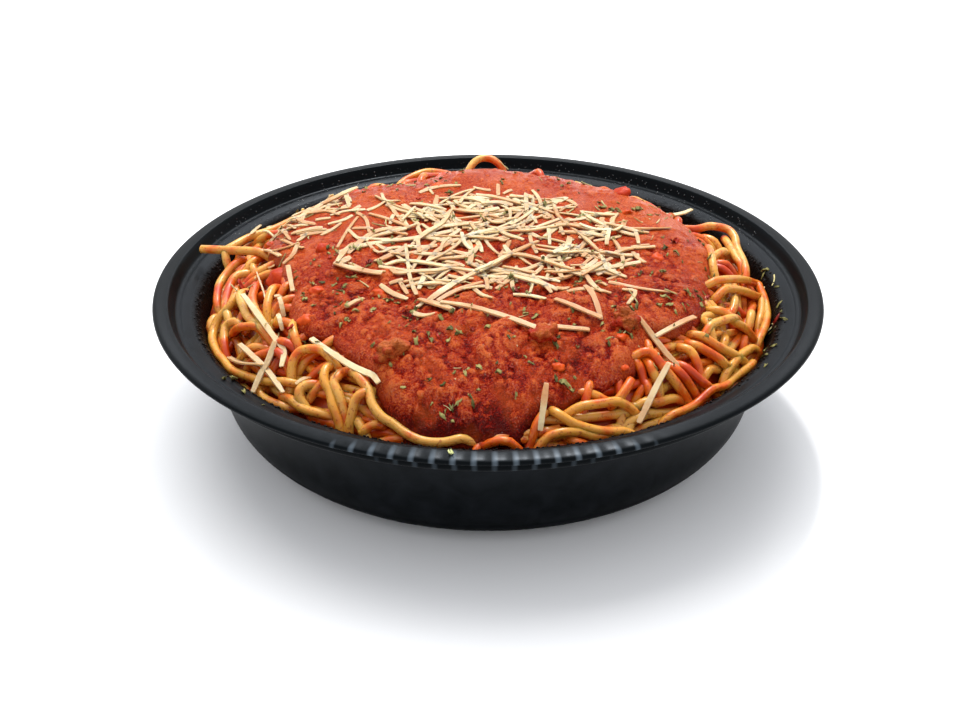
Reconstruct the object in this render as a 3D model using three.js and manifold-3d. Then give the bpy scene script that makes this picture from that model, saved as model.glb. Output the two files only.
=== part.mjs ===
// Spaghetti bolognese in a round takeaway bowl, in millimetres, +Z up, origin under the middle of the bowl's base.
// The bowl is one turned wall with a lid ledge. The meal is a heap of spaghetti that fills it, a coat of thick meat
// sauce over the heap with three large beef crumbles set in it, and a loose patch of grated cheese on top.
import * as THREE from 'three';
import { ImprovedNoise } from 'three/addons/math/ImprovedNoise.js';
import { mergeVertices } from 'three/addons/utils/BufferGeometryUtils.js';
import Module from 'manifold-3d';

const wasm = await Module();
wasm.setup();

// ---- driving dimensions ----
const SEGMENTS = 56; // facets round the axis, shared by the bowl and everything in it
const RIM_RADIUS = 114.3; // outer radius of the rolled lip, a 9 inch bowl
const BOWL_HEIGHT = 50; // base to the top of the rim
const WALL = 0.9; // plastic thickness
const BASE_RADIUS = 70; // flat underside that the bowl rests on
const CORNER_START = { r: 93.2, z: 18.4 }; // outside, where the wall turns into the base
const CORNER_PULL = [{ r: 92.6, z: 8.5 }, { r: 84, z: 0 }]; // handles of the rounded corner
const SHOULDER = { r: 99.6, z: 43.0 }; // outside, where the wall meets the ledge
const WALL_PULL = { r: 94.3, z: 31 }; // handle of the gently bowed side wall
const FIT_GAP = 0.4; // clearance between the meal and the bowl, and between its layers

const DOME_HEIGHT = 11.5; // middle of the heap above the rim
const DOME_POWER = 6; // how flat the top is before it falls away to the wall
const EDGE_DROP = 8.9; // heap's edge beside the wall, below the rim
const EDGE_TILT = -0.8; // the edge is this much higher at the back and lower at the front
const LOWEST_EDGE = 11.6; // the edge stays on the upper stretch of the wall
const EDGE_STANDOFF = 2.8; // the heap leaves the wall this far at the left and the right
const STRAND_RELIEF = 4.4; // hills and dips of the bare spaghetti
const STRAND_WAVE = 16; // distance between them
const EDGE_RELIEF = 1.6; // the same along its edge
const SAUCE_REACH = [80, 82, 84, 83, 82, 81, 80, 82, 78, 74, 78, 88, 91.5, 86, 81, 78]; // radius, 16 directions from +X
const SAUCE_MIDDLE = 10; // sauce thickness in the middle
const SAUCE_EDGE = 4; // and near its edge
const SAUCE_LIP = 1.6; // height of its rounded edge over the spaghetti
const SAUCE_RELIEF = 2.8; // lumps under the sauce's skin
const SAUCE_WAVE = 19; // distance between them
const CHEESE_REACH = [45, 43, 42, 46, 50, 48, 47, 50, 51, 46, 43, 43, 49, 54, 54, 48]; // radius, 16 directions from +X
const CHEESE_THICK = 2.6; // loose pile in the middle
const CHEESE_THIN = 0.9; // at its edge
const CRUMBLES = [ // large beef crumbles: position on the sauce, radius
  { name: 'beef_crumble_left', x: -30, y: -69, r: 4.6 },
  { name: 'beef_crumble_middle', x: 16, y: -61, r: 4.2 },
  { name: 'beef_crumble_right', x: 42, y: -51, r: 4.4 },
];
const CRUMBLE_RISE = 0.8; // crumble centre above the sauce
const CRUMBLE_ROUGH = 0.13; // unevenness as a share of its radius

// ---- helpers ----
const noise = new ImprovedNoise();

function relief(x, y, wave, shift) {
  return noise.noise(x / wave + shift, y / wave - shift, shift) + 0.5 * noise.noise(x / wave * 2.1, y / wave * 2.1, shift + 7.3);
}

// Radius of an outline that is given in evenly spaced directions, smooth between them.
function outline(radii) {
  const around = new THREE.CatmullRomCurve3(
    radii.map((r, i) => {
      const a = i / radii.length * Math.PI * 2;
      return new THREE.Vector3(r * Math.cos(a), r * Math.sin(a), 0);
    }), true, 'centripetal');
  const points = around.getPoints(SEGMENTS * 12);
  return (angle) => {
    const turn = (angle + Math.PI * 4) % (Math.PI * 2);
    let best = points[0];
    let nearest = Infinity;
    for (const p of points) {
      const off = Math.abs(((Math.atan2(p.y, p.x) - turn + Math.PI * 5) % (Math.PI * 2)) - Math.PI);
      if (off < nearest) {
        nearest = off;
        best = p;
      }
    }
    return Math.hypot(best.x, best.y);
  };
}

// Welds a geometry's corners and leaves out faces that have closed up at the axis.
function welded(geometry) {
  geometry.deleteAttribute('normal');
  geometry.deleteAttribute('uv');
  const merged = mergeVertices(geometry, 1e-4);
  const index = merged.index.array;
  const kept = [];
  for (let i = 0; i < index.length; i += 3) {
    const [a, b, c] = [index[i], index[i + 1], index[i + 2]];
    if (a !== b && b !== c && c !== a) kept.push(a, b, c);
  }
  merged.setIndex(kept);
  return merged;
}

// A turned solid whose section may change with the direction: each level gives [radius, height] for an angle, from the
// bottom of the axis, up the outside, to the top of the axis. Where the levels run inward its four-sided faces are
// split the other way, so that the underside of one layer and the top of the layer below it have the same facets.
function turned(levels) {
  const section = levels.map((_, i) => new THREE.Vector2(i === 0 || i === levels.length - 1 ? 0 : 1, i));
  const geometry = new THREE.LatheGeometry(section, SEGMENTS);
  const faces = [];
  for (let i = 0; i < SEGMENTS; i++) {
    for (let j = 0; j < levels.length - 1; j++) {
      const [a, b] = [j + i * levels.length, j + (i + 1) * levels.length];
      const inward = levels[j + 1](0)[0] < levels[j](0)[0];
      if (inward) faces.push(a, b, b + 1, a, b + 1, a + 1);
      else faces.push(a, b, a + 1, b + 1, a + 1, b);
    }
  }
  geometry.setIndex(faces);
  const position = geometry.attributes.position;
  for (let i = 0; i < position.count; i++) {
    const column = Math.floor(i / levels.length) % SEGMENTS;
    const angle = column / SEGMENTS * Math.PI * 2 - Math.PI / 2;
    const [r, z] = levels[i % levels.length](angle);
    position.setXYZ(i, r * Math.cos(angle), r * Math.sin(angle), z);
  }
  return welded(geometry);
}

function solid(geometry) {
  return new wasm.Manifold(new wasm.Mesh({
    numProp: 3,
    vertProperties: new Float32Array(geometry.attributes.position.array),
    triVerts: new Uint32Array(geometry.index.array),
  }));
}

function geometryOf(manifold) {
  const mesh = manifold.getMesh();
  const geometry = new THREE.BufferGeometry();
  geometry.setAttribute('position', new THREE.BufferAttribute(new Float32Array(mesh.vertProperties), 3));
  geometry.setIndex(new THREE.BufferAttribute(new Uint32Array(mesh.triVerts), 1));
  return geometry;
}

function surface(color, roughness) {
  return new THREE.MeshStandardMaterial({ color, roughness, metalness: 0 });
}

function piece(name, geometry, material) {
  geometry.computeVertexNormals();
  const mesh = new THREE.Mesh(geometry, material);
  mesh.name = name;
  return mesh;
}

// ---- the bowl's section ----
const flat = (p) => new THREE.Vector2(p.r, p.z);

const corner = new THREE.CubicBezierCurve(
  new THREE.Vector2(BASE_RADIUS, 0), flat(CORNER_PULL[1]), flat(CORNER_PULL[0]), flat(CORNER_START));
const side = new THREE.QuadraticBezierCurve(flat(CORNER_START), flat(WALL_PULL), flat(SHOULDER));

// Outside of the wall from the base to the shoulder, and the inside one plastic thickness from it.
const CORNER_STEPS = 6;
const SIDE_STOPS = [0.26, 0.52, 0.79, 1];
const stations = [
  ...Array.from({ length: CORNER_STEPS + 1 }, (_, i) => [corner, i / CORNER_STEPS]),
  ...SIDE_STOPS.map((t) => [side, t]),
];
const outside = stations.map(([curve, t]) => curve.getPoint(t));
const inside = stations.map(([curve, t]) => {
  const along = curve.getTangent(t);
  return curve.getPoint(t).add(new THREE.Vector2(-along.y, along.x).multiplyScalar(WALL));
});

// Rim section as [radius, depth under the rim]: ledge underside, hanging bead, flange and its rolled lip, step down to
// the lid groove, sloping lid ledge and its rounded inner edge.
const RIM_SECTION = [
  [101.4, 6.25], [107.2, 5.4], [107.9, 6.9], [108.8, 7.25], [109.5, 6.6],
  [109.6, 1.5], [112.9, 1.5], [113.5, 2.1], [RIM_RADIUS, 1.7], [114.2, 0.9], [113.4, 0.4],
  [109.4, 0], [108.8, 0.2], [107.4, 3.3], [106.8, 4.1], [105.4, 4.2], [104.8, 4.0],
  [101.2, 5.1], [99.9, 5.6], [99.1, 6.4],
].map(([r, depth]) => new THREE.Vector2(r, BOWL_HEIGHT - depth));

function bowl() {
  const section = [new THREE.Vector2(0, 0), ...outside, ...RIM_SECTION, ...inside.toReversed(), new THREE.Vector2(0, WALL)];
  return welded(new THREE.LatheGeometry(section, SEGMENTS).rotateX(Math.PI / 2));
}

// Radius of the bowl's inner wall at a height, between the stations of its section.
function innerRadius(z) {
  const above = inside.findIndex((p) => p.y >= z);
  const [low, high] = above < 0 ? inside.slice(-2) : [inside[above - 1], inside[above]];
  return low.x + (high.x - low.x) * (z - low.y) / (high.y - low.y);
}

// ---- the heap ----
const sauceReach = outline(SAUCE_REACH);
const cheeseReach = outline(CHEESE_REACH);

function edgeHeight(angle) {
  const wobble = relief(SHOULDER.r * Math.cos(angle), SHOULDER.r * Math.sin(angle), STRAND_WAVE, 3.1);
  const drop = EDGE_DROP + EDGE_TILT * Math.sin(angle) - EDGE_RELIEF * wobble;
  return BOWL_HEIGHT - Math.min(drop, LOWEST_EDGE);
}

const edgeRadius = (angle) => innerRadius(edgeHeight(angle)) - 1.5 * FIT_GAP - EDGE_STANDOFF * Math.cos(angle) ** 2;

// Outer surface of the whole heap, before any relief.
function domeHeight(r, angle) {
  const top = BOWL_HEIGHT + DOME_HEIGHT;
  return top - (top - edgeHeight(angle)) * (r / edgeRadius(angle)) ** DOME_POWER;
}

const mix = (a, b, t) => a + (b - a) * t;

// Rings shared by all layers, so that each layer's faces lie parallel over the next: first out to the cheese's edge,
// then to the sauce's edge, then to the wall.
const CHEESE_RINGS = [1 / 3, 2 / 3, 1].map((t) => (a) => cheeseReach(a) * t);
const SAUCE_RINGS = [0.35, 0.68, 0.9, 1].map((t) => (a) => mix(cheeseReach(a), sauceReach(a), t));
const BARE_RINGS = [0.14, 0.42, 0.72].map((t) => (a) => mix(sauceReach(a), edgeRadius(a), t));
const COVERED = [() => 0, ...CHEESE_RINGS, ...SAUCE_RINGS];

function sauceTop(r, angle) {
  const share = Math.min(r / sauceReach(angle), 1);
  const lumps = SAUCE_RELIEF * relief(r * Math.cos(angle), r * Math.sin(angle), SAUCE_WAVE, 1.7);
  return domeHeight(r, angle) + lumps * (1 - 0.6 * share ** 6);
}

// Spaghetti under the sauce, one sauce thickness and a clearance below the sauce's top.
function beddingTop(r, angle) {
  const share = Math.min(r / sauceReach(angle), 1);
  const thickness = share > 0.999 ? SAUCE_LIP : mix(SAUCE_MIDDLE, SAUCE_EDGE, share ** 2);
  return sauceTop(r, angle) - thickness - FIT_GAP;
}

// Bare spaghetti between the sauce and the wall.
function strandTop(r, angle) {
  const humps = STRAND_RELIEF * relief(r * Math.cos(angle), r * Math.sin(angle), STRAND_WAVE, 5.9);
  return domeHeight(r, angle) + humps;
}

const level = (ring, height) => (angle) => {
  const r = ring(angle);
  return [r, height(r, angle)];
};

function spaghettiHeap() {
  const wallStations = inside.slice(CORNER_STEPS, -1);
  const cornerStations = inside.slice(2, CORNER_STEPS).filter((_, i) => i % 2 === 0);
  const inward = [...cornerStations, ...wallStations].map((p) => () => [p.x - FIT_GAP, p.y + FIT_GAP * (1 - p.y / CORNER_START.z)]);
  return turned([
    () => [0, WALL + FIT_GAP],
    () => [BASE_RADIUS - WALL, WALL + FIT_GAP],
    ...inward.map((station) => () => {
      const [r, z] = station();
      return [r, Math.max(z, WALL + FIT_GAP)];
    }),
    (angle) => [edgeRadius(angle), edgeHeight(angle)],
    ...BARE_RINGS.toReversed().map((ring) => level(ring, strandTop)),
    ...COVERED.toReversed().map((ring) => level(ring, beddingTop)),
  ]);
}

function sauceCoat() {
  const under = COVERED.map((ring) => level(ring, (r, angle) => beddingTop(r, angle) + FIT_GAP));
  const over = COVERED.map((ring) => level(ring, sauceTop));
  return turned([...under, ...over.toReversed()]);
}

function cheesePatch() {
  const rings = COVERED.slice(0, CHEESE_RINGS.length + 1);
  const thickness = (r, angle) => mix(CHEESE_THICK, CHEESE_THIN, (r / cheeseReach(angle)) ** 2);
  const under = rings.map((ring) => level(ring, (r, angle) => sauceTop(r, angle) + FIT_GAP));
  const over = rings.map((ring) => level(ring, (r, angle) => sauceTop(r, angle) + FIT_GAP + thickness(r, angle)));
  return turned([...under, ...over.toReversed()]);
}

// A rough ball of minced beef, its surface pushed in and out by noise.
function crumble({ x, y, r }, grow) {
  const geometry = welded(new THREE.IcosahedronGeometry(r + grow, 2));
  const position = geometry.attributes.position;
  const z = sauceTop(Math.hypot(x, y), Math.atan2(y, x)) + CRUMBLE_RISE;
  const out = new THREE.Vector3();
  for (let i = 0; i < position.count; i++) {
    out.fromBufferAttribute(position, i).normalize();
    const rough = 1 + CRUMBLE_ROUGH * noise.noise(out.x * 2.3 + x, out.y * 2.3 + y, out.z * 2.3);
    out.multiplyScalar(r * rough + grow);
    position.setXYZ(i, x + out.x, y + out.y, z + out.z * 0.85);
  }
  return geometry;
}

const sauce = CRUMBLES.reduce((body, c) => body.subtract(solid(crumble(c, FIT_GAP))), solid(sauceCoat()));

// ---- the assembly ----
const meal = new THREE.Group();
meal.name = 'spaghetti_bolognese';
const blackPlastic = surface('#1b1e20', 0.42);
meal.add(piece('bowl', bowl(), blackPlastic));
meal.add(piece('spaghetti', spaghettiHeap(), surface('#dfb869', 0.4)));
meal.add(piece('meat_sauce', geometryOf(sauce), surface('#a8331c', 0.35)));
for (const c of CRUMBLES) meal.add(piece(c.name, crumble(c, 0), surface('#94452a', 0.6)));
meal.add(piece('grated_cheese', cheesePatch(), surface('#f1e2b4', 0.6)));

export default meal;
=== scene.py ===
import itertools
import math

import bmesh
import bpy
import numpy as np
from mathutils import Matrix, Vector


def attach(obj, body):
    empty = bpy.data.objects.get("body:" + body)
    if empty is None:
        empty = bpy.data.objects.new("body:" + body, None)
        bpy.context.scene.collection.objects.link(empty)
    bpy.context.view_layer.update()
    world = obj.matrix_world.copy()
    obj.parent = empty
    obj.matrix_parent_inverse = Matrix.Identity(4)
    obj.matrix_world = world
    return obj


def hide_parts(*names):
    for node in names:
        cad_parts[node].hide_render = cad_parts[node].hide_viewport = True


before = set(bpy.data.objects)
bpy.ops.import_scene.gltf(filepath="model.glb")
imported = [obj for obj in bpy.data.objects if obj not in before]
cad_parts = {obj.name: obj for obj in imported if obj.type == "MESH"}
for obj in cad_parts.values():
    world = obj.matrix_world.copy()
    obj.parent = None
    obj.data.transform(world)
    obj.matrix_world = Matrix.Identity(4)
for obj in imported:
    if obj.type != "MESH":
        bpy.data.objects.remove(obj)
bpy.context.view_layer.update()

MM = 0.001
FULL_TURN = 2 * math.pi
RIM = 50.0                 # height of the bowl's rim
STRAND = 1.5               # radius of a cooked strand


# ---------- small tools ----------

def colour(code):
    """Linear colour from an sRGB hex code."""
    parts = [int(code[k:k + 2], 16) / 255 for k in (0, 2, 4)]
    return tuple(p / 12.92 if p <= 0.04045 else ((p + 0.055) / 1.055) ** 2.4 for p in parts) + (1.0,)


def scale_of(size):
    """Scale of a pattern that measures size millimetres from grain to grain."""
    return 1 / (size * MM)


def node(tree, kind, inputs=None, stops=None, **settings):
    """Adds a node, sets its properties, and gives its inputs values or links.

    Inputs without a name of their own go by number: a Map Range turns input 0 from the range 1 to 2 into the
    range 3 to 4, and a Mix goes by its share 0 from number 2 to 3 or from colour 6 to 7.
    """
    made = tree.nodes.new(kind)
    for name, value in settings.items():
        setattr(made, name, value)
    for place, (position, shade) in enumerate(stops or []):
        elements = made.color_ramp.elements
        element = elements[place] if place < 2 else elements.new(position)
        element.position = position
        element.color = shade
    for key, value in (inputs or {}).items():
        if isinstance(value, bpy.types.NodeSocket):
            tree.links.new(value, made.inputs[key])
        else:
            made.inputs[key].default_value = value
    return made


CELL_PRIMES = (73856093, 19349663, 83492791)      # one for each axis
MIXER = np.uint64(6364136223846793005)


def lattice(cells, seed):
    """Random numbers from -1 to 1 that belong to whole-number cells."""
    mixed = np.full(len(cells), seed * 7919 + 13, np.uint64)
    for axis, prime in zip(range(cells.shape[1]), CELL_PRIMES):
        mixed = (mixed ^ (cells[:, axis] * prime).astype(np.uint64)) * MIXER
        mixed ^= mixed >> np.uint64(29)
    return (mixed >> np.uint64(40)).astype(float) / 2**23 - 1


def noise(points, size, seed):
    """Smooth noise from -1 to 1; size is the distance between its hills."""
    scaled = np.asarray(points, float) / size + 3.7 * seed
    low = np.floor(scaled).astype(np.int64)
    part = scaled - low
    part = part * part * (3 - 2 * part)
    total = np.zeros(len(scaled))
    for corner in itertools.product((0, 1), repeat=scaled.shape[1]):
        weight = np.prod(np.where(np.array(corner), part, 1 - part), axis=1)
        total += weight * lattice(low + np.array(corner), seed)
    return total


def linked(name, data):
    """A new object of the scene."""
    made = bpy.data.objects.new(name, data)
    bpy.context.scene.collection.objects.link(made)
    return made


def paint(mesh, **attributes):
    """Gives a mesh attributes with one number for each point."""
    for name, values in attributes.items():
        mesh.attributes.new(name, "FLOAT", "POINT").data.foreach_set("value", np.asarray(values, np.float32))


def mesh_of(name, points, edges=(), faces=(), **attributes):
    """A mesh from points in millimetres."""
    mesh = bpy.data.meshes.new(name)
    mesh.from_pydata((np.asarray(points) * MM).tolist(), list(edges), [list(face) for face in faces])
    paint(mesh, **attributes)
    return mesh


def mesh_piece(name, points, faces, material, **attributes):
    """A smooth piece from points in millimetres; each attribute is one number for each point."""
    mesh = mesh_of(name, points, faces=faces, **attributes)
    mesh.materials.append(material)
    mesh.polygons.foreach_set("use_smooth", [True] * len(mesh.polygons))
    mesh.update()
    return linked(name, mesh)


def joined(parts):
    """Points, faces and attributes of many small shapes as one shape."""
    points, faces, start, values = [], [], 0, {}
    for part_points, part_faces, attributes in parts:
        points.append(part_points)
        faces += [[i + start for i in face] for face in part_faces]
        for key, value in attributes.items():
            values.setdefault(key, []).append(np.broadcast_to(value, len(part_points)))
        start += len(part_points)
    return np.concatenate(points), faces, {key: np.concatenate(value) for key, value in values.items()}


STEPS_BETWEEN_MARKS = 24


def curve_through(marks, spacing):
    """Evenly spaced points of a smooth path through marks."""
    marks = np.asarray(marks, float)
    padded = np.vstack([2 * marks[0] - marks[1], marks, 2 * marks[-1] - marks[-2]])
    found = []
    for k in range(1, len(padded) - 2):
        before, here, there, after = padded[k - 1:k + 3]
        for t in np.linspace(0, 1, STEPS_BETWEEN_MARKS, endpoint=False):
            squared = (2 * before - 5 * here + 4 * there - after) * t * t
            cubed = (3 * here - before - 3 * there + after) * t**3
            found.append(0.5 * (2 * here + (there - before) * t + squared + cubed))
    found = np.array(found + [marks[-1]])
    travelled = np.concatenate([[0], np.cumsum(np.linalg.norm(np.diff(found, axis=0), axis=1))])
    count = max(3, int(round(travelled[-1] / spacing)) + 1)
    even = np.linspace(0, travelled[-1], count)
    return np.stack([np.interp(even, travelled, found[:, k]) for k in range(marks.shape[1])], axis=1)


# ---------- trees that make what follows a path or a surface ----------

END_REACH = 0.22           # how far a bar's thinner end goes past its path
END_SHARE = 0.72           # how thick that end is, as a share of the bar


def bar(path, thick, **values):
    """One bar for a tree that follows paths: its centre line with thinner ends, edges and attributes."""
    first, last = path[0] - path[1], path[-1] - path[-2]
    longer = np.vstack([path[0] + END_REACH * first / np.linalg.norm(first), path,
                        path[-1] + END_REACH * last / np.linalg.norm(last)])
    thick = np.concatenate([[END_SHARE * thick[0]], thick, [END_SHARE * thick[-1]]])
    values = {key: np.pad(np.broadcast_to(value, len(path)), 1, mode="edge") for key, value in values.items()}
    return longer, [(k, k + 1) for k in range(len(longer) - 1)], {"thick": thick, **values}


def shape_tree(name, *sizes):
    """A Geometry Nodes tree with a geometry input and one named number input for each size."""
    tree = bpy.data.node_groups.new(name, "GeometryNodeTree")
    tree.interface.new_socket("Geometry", in_out="INPUT", socket_type="NodeSocketGeometry")
    for size in sizes:
        kind = "NodeSocketInt" if size in ("Sides", "Seed") else "NodeSocketFloat"
        tree.interface.new_socket(size, in_out="INPUT", socket_type=kind)
    tree.interface.new_socket("Geometry", in_out="OUTPUT", socket_type="NodeSocketGeometry")
    return tree, tree.nodes.new("NodeGroupInput").outputs


def end_tree(tree, shape, material, smooth=True):
    """Ends a tree with plain mesh that has its material."""
    shape = node(tree, "GeometryNodeSetShadeSmooth", {"Geometry": shape, "Shade Smooth": smooth}).outputs[0]
    shape = node(tree, "GeometryNodeRealizeInstances", {"Geometry": shape}).outputs[0]
    shape = node(tree, "GeometryNodeSetMaterial", {"Geometry": shape, "Material": material}).outputs[0]
    node(tree, "NodeGroupOutput", {0: shape})
    return tree


def strand_tree(material):
    """Round bars along paths."""
    tree, given = shape_tree("round_bar_along_path", "Radius", "Sides")
    line = node(tree, "GeometryNodeMeshToCurve", {"Mesh": given["Geometry"]}).outputs[0]
    thick = node(tree, "GeometryNodeInputNamedAttribute", {"Name": "thick"}, data_type="FLOAT").outputs[0]
    ring = node(tree, "GeometryNodeCurvePrimitiveCircle", {
        "Resolution": given["Sides"], "Radius": given["Radius"]}).outputs[0]
    bars = node(tree, "GeometryNodeCurveToMesh", {
        "Curve": line, "Profile Curve": ring, "Fill Caps": True, "Scale": thick}).outputs[0]
    return end_tree(tree, bars, material)


def shred_tree(material):
    """Flat bars along paths that stay level across, but for their own lean."""
    tree, given = shape_tree("flat_bar_along_path", "Width", "Thickness")
    line = node(tree, "GeometryNodeMeshToCurve", {"Mesh": given["Geometry"]}).outputs[0]
    thick = node(tree, "GeometryNodeInputNamedAttribute", {"Name": "thick"}, data_type="FLOAT").outputs[0]
    lean = node(tree, "GeometryNodeInputNamedAttribute", {"Name": "lean"}, data_type="FLOAT").outputs[0]
    line = node(tree, "GeometryNodeSetCurveNormal", {"Curve": line}, mode="Z_UP").outputs[0]
    line = node(tree, "GeometryNodeSetCurveTilt", {"Curve": line, "Tilt": lean}).outputs[0]
    section = node(tree, "GeometryNodeCurvePrimitiveQuadrilateral", {
        "Width": given["Width"], "Height": given["Thickness"]}, mode="RECTANGLE").outputs[0]
    bars = node(tree, "GeometryNodeCurveToMesh", {
        "Curve": line, "Profile Curve": section, "Fill Caps": True, "Scale": thick}).outputs[0]
    return end_tree(tree, bars, material, False)


def turning_tree(material):
    """A profile turned about the upright axis, closed where it meets the axis."""
    tree, given = shape_tree("turned_profile", "Sides", "Turning radius")
    profile = node(tree, "GeometryNodeMeshToCurve", {"Mesh": given["Geometry"]}).outputs[0]
    circle = node(tree, "GeometryNodeCurvePrimitiveCircle", {
        "Resolution": given["Sides"], "Radius": given["Turning radius"]}).outputs[0]
    turned = node(tree, "GeometryNodeCurveToMesh", {"Curve": circle, "Profile Curve": profile}).outputs[0]
    turned = node(tree, "GeometryNodeMergeByDistance", {"Geometry": turned, "Distance": MM / 1000}).outputs[0]
    turned = node(tree, "GeometryNodeFlipFaces", {"Mesh": turned}).outputs[0]
    return end_tree(tree, turned, material)


def bead_tree(material):
    """Beads of water strewn over a surface, each pressed flat on it."""
    tree, given = shape_tree("beads_on_surface", "Density", "Smallest", "Largest", "Seed")
    spread = node(tree, "GeometryNodeDistributePointsOnFaces", {
        "Mesh": given["Geometry"], "Density": given["Density"], "Seed": given["Seed"]},
        distribute_method="RANDOM")
    size = node(tree, "FunctionNodeRandomValue", {
        2: given["Smallest"], 3: given["Largest"], 8: given["Seed"]}, data_type="FLOAT").outputs[1]
    low = node(tree, "ShaderNodeMath", {0: size, 1: 0.5}, operation="MULTIPLY").outputs[0]
    scale = node(tree, "ShaderNodeCombineXYZ", {0: size, 1: size, 2: low}).outputs[0]
    ball = node(tree, "GeometryNodeMeshUVSphere", {"Segments": 8, "Rings": 5, "Radius": 1.0}).outputs[0]
    beads = node(tree, "GeometryNodeInstanceOnPoints", {
        "Points": spread.outputs["Points"], "Instance": ball, "Rotation": spread.outputs["Rotation"],
        "Scale": scale}).outputs[0]
    return end_tree(tree, beads, material)


def grown(name, points, tree, sizes, edges=(), faces=(), **attributes):
    """The plain mesh that a tree makes from points, edges and faces in millimetres."""
    made = linked(name, mesh_of(name, points, edges, faces, **attributes))
    modifier = made.modifiers.new("shape", "NODES")
    modifier.node_group = tree
    for socket in tree.interface.items_tree:
        if socket.name in sizes:
            modifier[socket.identifier] = sizes[socket.name]
    seen = bpy.context.evaluated_depsgraph_get()
    plain = bpy.data.meshes.new_from_object(made.evaluated_get(seen), depsgraph=seen)
    made.modifiers.remove(modifier)
    made.data = plain
    return made


def points_of(piece):
    """The points of a piece in millimetres."""
    flat = np.empty(3 * len(piece.data.vertices), np.float32)
    piece.data.vertices.foreach_get("co", flat)
    return flat.reshape(-1, 3).astype(float) / MM


def read(piece, name):
    """The values of an attribute of a piece."""
    values = np.empty(len(piece.data.vertices), np.float32)
    piece.data.attributes[name].data.foreach_get("value", values)
    return values.astype(float)


# ---------- the shape of the meal ----------

HEAP_RISE = 11.5           # top of the heap above the rim
WALL_TOP = 98.7            # inside radius of the wall near its top
WALL_TOP_DEPTH = 7.0       # how far below the rim it has that radius
WALL_SLOPE = 0.45          # how much wider the wall gets for each millimetre up
LEDGE_DEPTH = 6.4          # how far below the rim the wall turns into the lid ledge
FRONT_GAP = 0.6            # gap between the heap's edge and the wall at the front and the back
SIDE_GAP = 2.8             # how much wider that gap is on the left and the right


def heap(x, y):
    """Height of the heap of spaghetti at x, y."""
    angle = np.arctan2(y, x)
    drop = 8.9 - 0.8 * np.sin(angle)
    edge = WALL_TOP - WALL_SLOPE * (drop - WALL_TOP_DEPTH) - FRONT_GAP - SIDE_GAP * np.cos(angle)**2
    return RIM + HEAP_RISE - (HEAP_RISE + drop) * np.minimum(np.hypot(x, y) / edge, 1.0)**6


def wall_radius(z):
    """Inside radius of the bowl at height z beside the food."""
    return WALL_TOP + WALL_SLOPE * (np.minimum(z, RIM - LEDGE_DEPTH) - (RIM - WALL_TOP_DEPTH))


# Height maps cover the bowl with square cells.
STEP = 0.4                 # side of a cell
REACH = 106.0              # how far a map reaches from the middle
LINE = np.arange(-REACH, REACH + STEP / 2, STEP)
GRID_X, GRID_Y = np.meshgrid(LINE, LINE)
GRID_FAR = np.hypot(GRID_X, GRID_Y)
FLAT = np.stack([GRID_X.ravel(), GRID_Y.ravel()], axis=1)
NOTHING = -999.0           # height where a map holds nothing


def field(size, seed):
    """Noise over a whole height map; size is the distance between its hills."""
    return noise(FLAT, size, seed).reshape(GRID_X.shape)


def sample(grid, x, y):
    """Value of a height map between its cells."""
    column = np.clip((np.asarray(x) + REACH) / STEP, 0, len(LINE) - 1.001)
    row = np.clip((np.asarray(y) + REACH) / STEP, 0, len(LINE) - 1.001)
    c, r = column.astype(int), row.astype(int)
    u, v = column - c, row - r
    return ((grid[r, c] * (1 - u) + grid[r, c + 1] * u) * (1 - v)
            + (grid[r + 1, c] * (1 - u) + grid[r + 1, c + 1] * u) * v)


def cell_of(place):
    """Number of the row or column that places along x or y fall in."""
    return np.rint((place + REACH) / STEP).astype(int)


def raise_along(grid, path, radius, flatness=1.0):
    """Lifts a height map to the top of a bar of that radius along path."""
    span = np.arange(-math.ceil(radius / STEP), math.ceil(radius / STEP) + 1)
    column = cell_of(path[:, 0])[:, None, None] + span[None, None, :]
    row = cell_of(path[:, 1])[:, None, None] + span[None, :, None]
    row, column = np.broadcast_arrays(np.clip(row, 0, len(LINE) - 1), np.clip(column, 0, len(LINE) - 1))
    away = (LINE[column] - path[:, 0, None, None])**2 + (LINE[row] - path[:, 1, None, None])**2
    top = path[:, 2, None, None] + flatness * np.sqrt(np.maximum(radius**2 - away, 0))
    np.maximum.at(grid, (row, column), np.where(away < radius**2, top, NOTHING))


def blurred(grid, size):
    """A height map smoothed over size millimetres."""
    rows = np.fft.fftfreq(grid.shape[0], STEP)[:, None]
    columns = np.fft.rfftfreq(grid.shape[1], STEP)[None, :]
    keep = np.exp(-2 * (np.pi * size)**2 * (rows**2 + columns**2))
    return np.fft.irfft2(np.fft.rfft2(grid) * keep, s=grid.shape)


def highest_below(ground, flat, across, places):
    """The highest ground below a bar along flat, looked up at places from -1 to 1 of across to its sides."""
    along = np.gradient(flat, axis=0)
    along /= np.linalg.norm(along, axis=1)[:, None] + 1e-9
    side = np.stack([-along[:, 1], along[:, 0]], axis=1) * across
    return np.max([sample(ground, *(flat + side * k).T) for k in places], axis=0)


SETTLING_ROUNDS = 90
SAG = 0.03                 # how much lower than straight a strand hangs at each of its points
END_SAG = 0.5              # the same for its two ends


def rest_on(ground, flat, across):
    """Heights of a soft strand that lies along flat on a height map and bridges its gaps."""
    lowest = highest_below(ground, flat, across, (-1, -0.5, 0, 0.5, 1)) + STRAND
    z = lowest.copy()
    for _ in range(SETTLING_ROUNDS):
        z[1:-1] = np.maximum(lowest[1:-1], (z[:-2] + z[2:]) / 2 - SAG)
        z[0] = max(lowest[0], z[1] - END_SAG)
        z[-1] = max(lowest[-1], z[-2] - END_SAG)
    z[1:-1] = (z[:-2] + 2 * z[1:-1] + z[2:]) / 4
    return z


# ---------- spaghetti ----------

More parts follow.
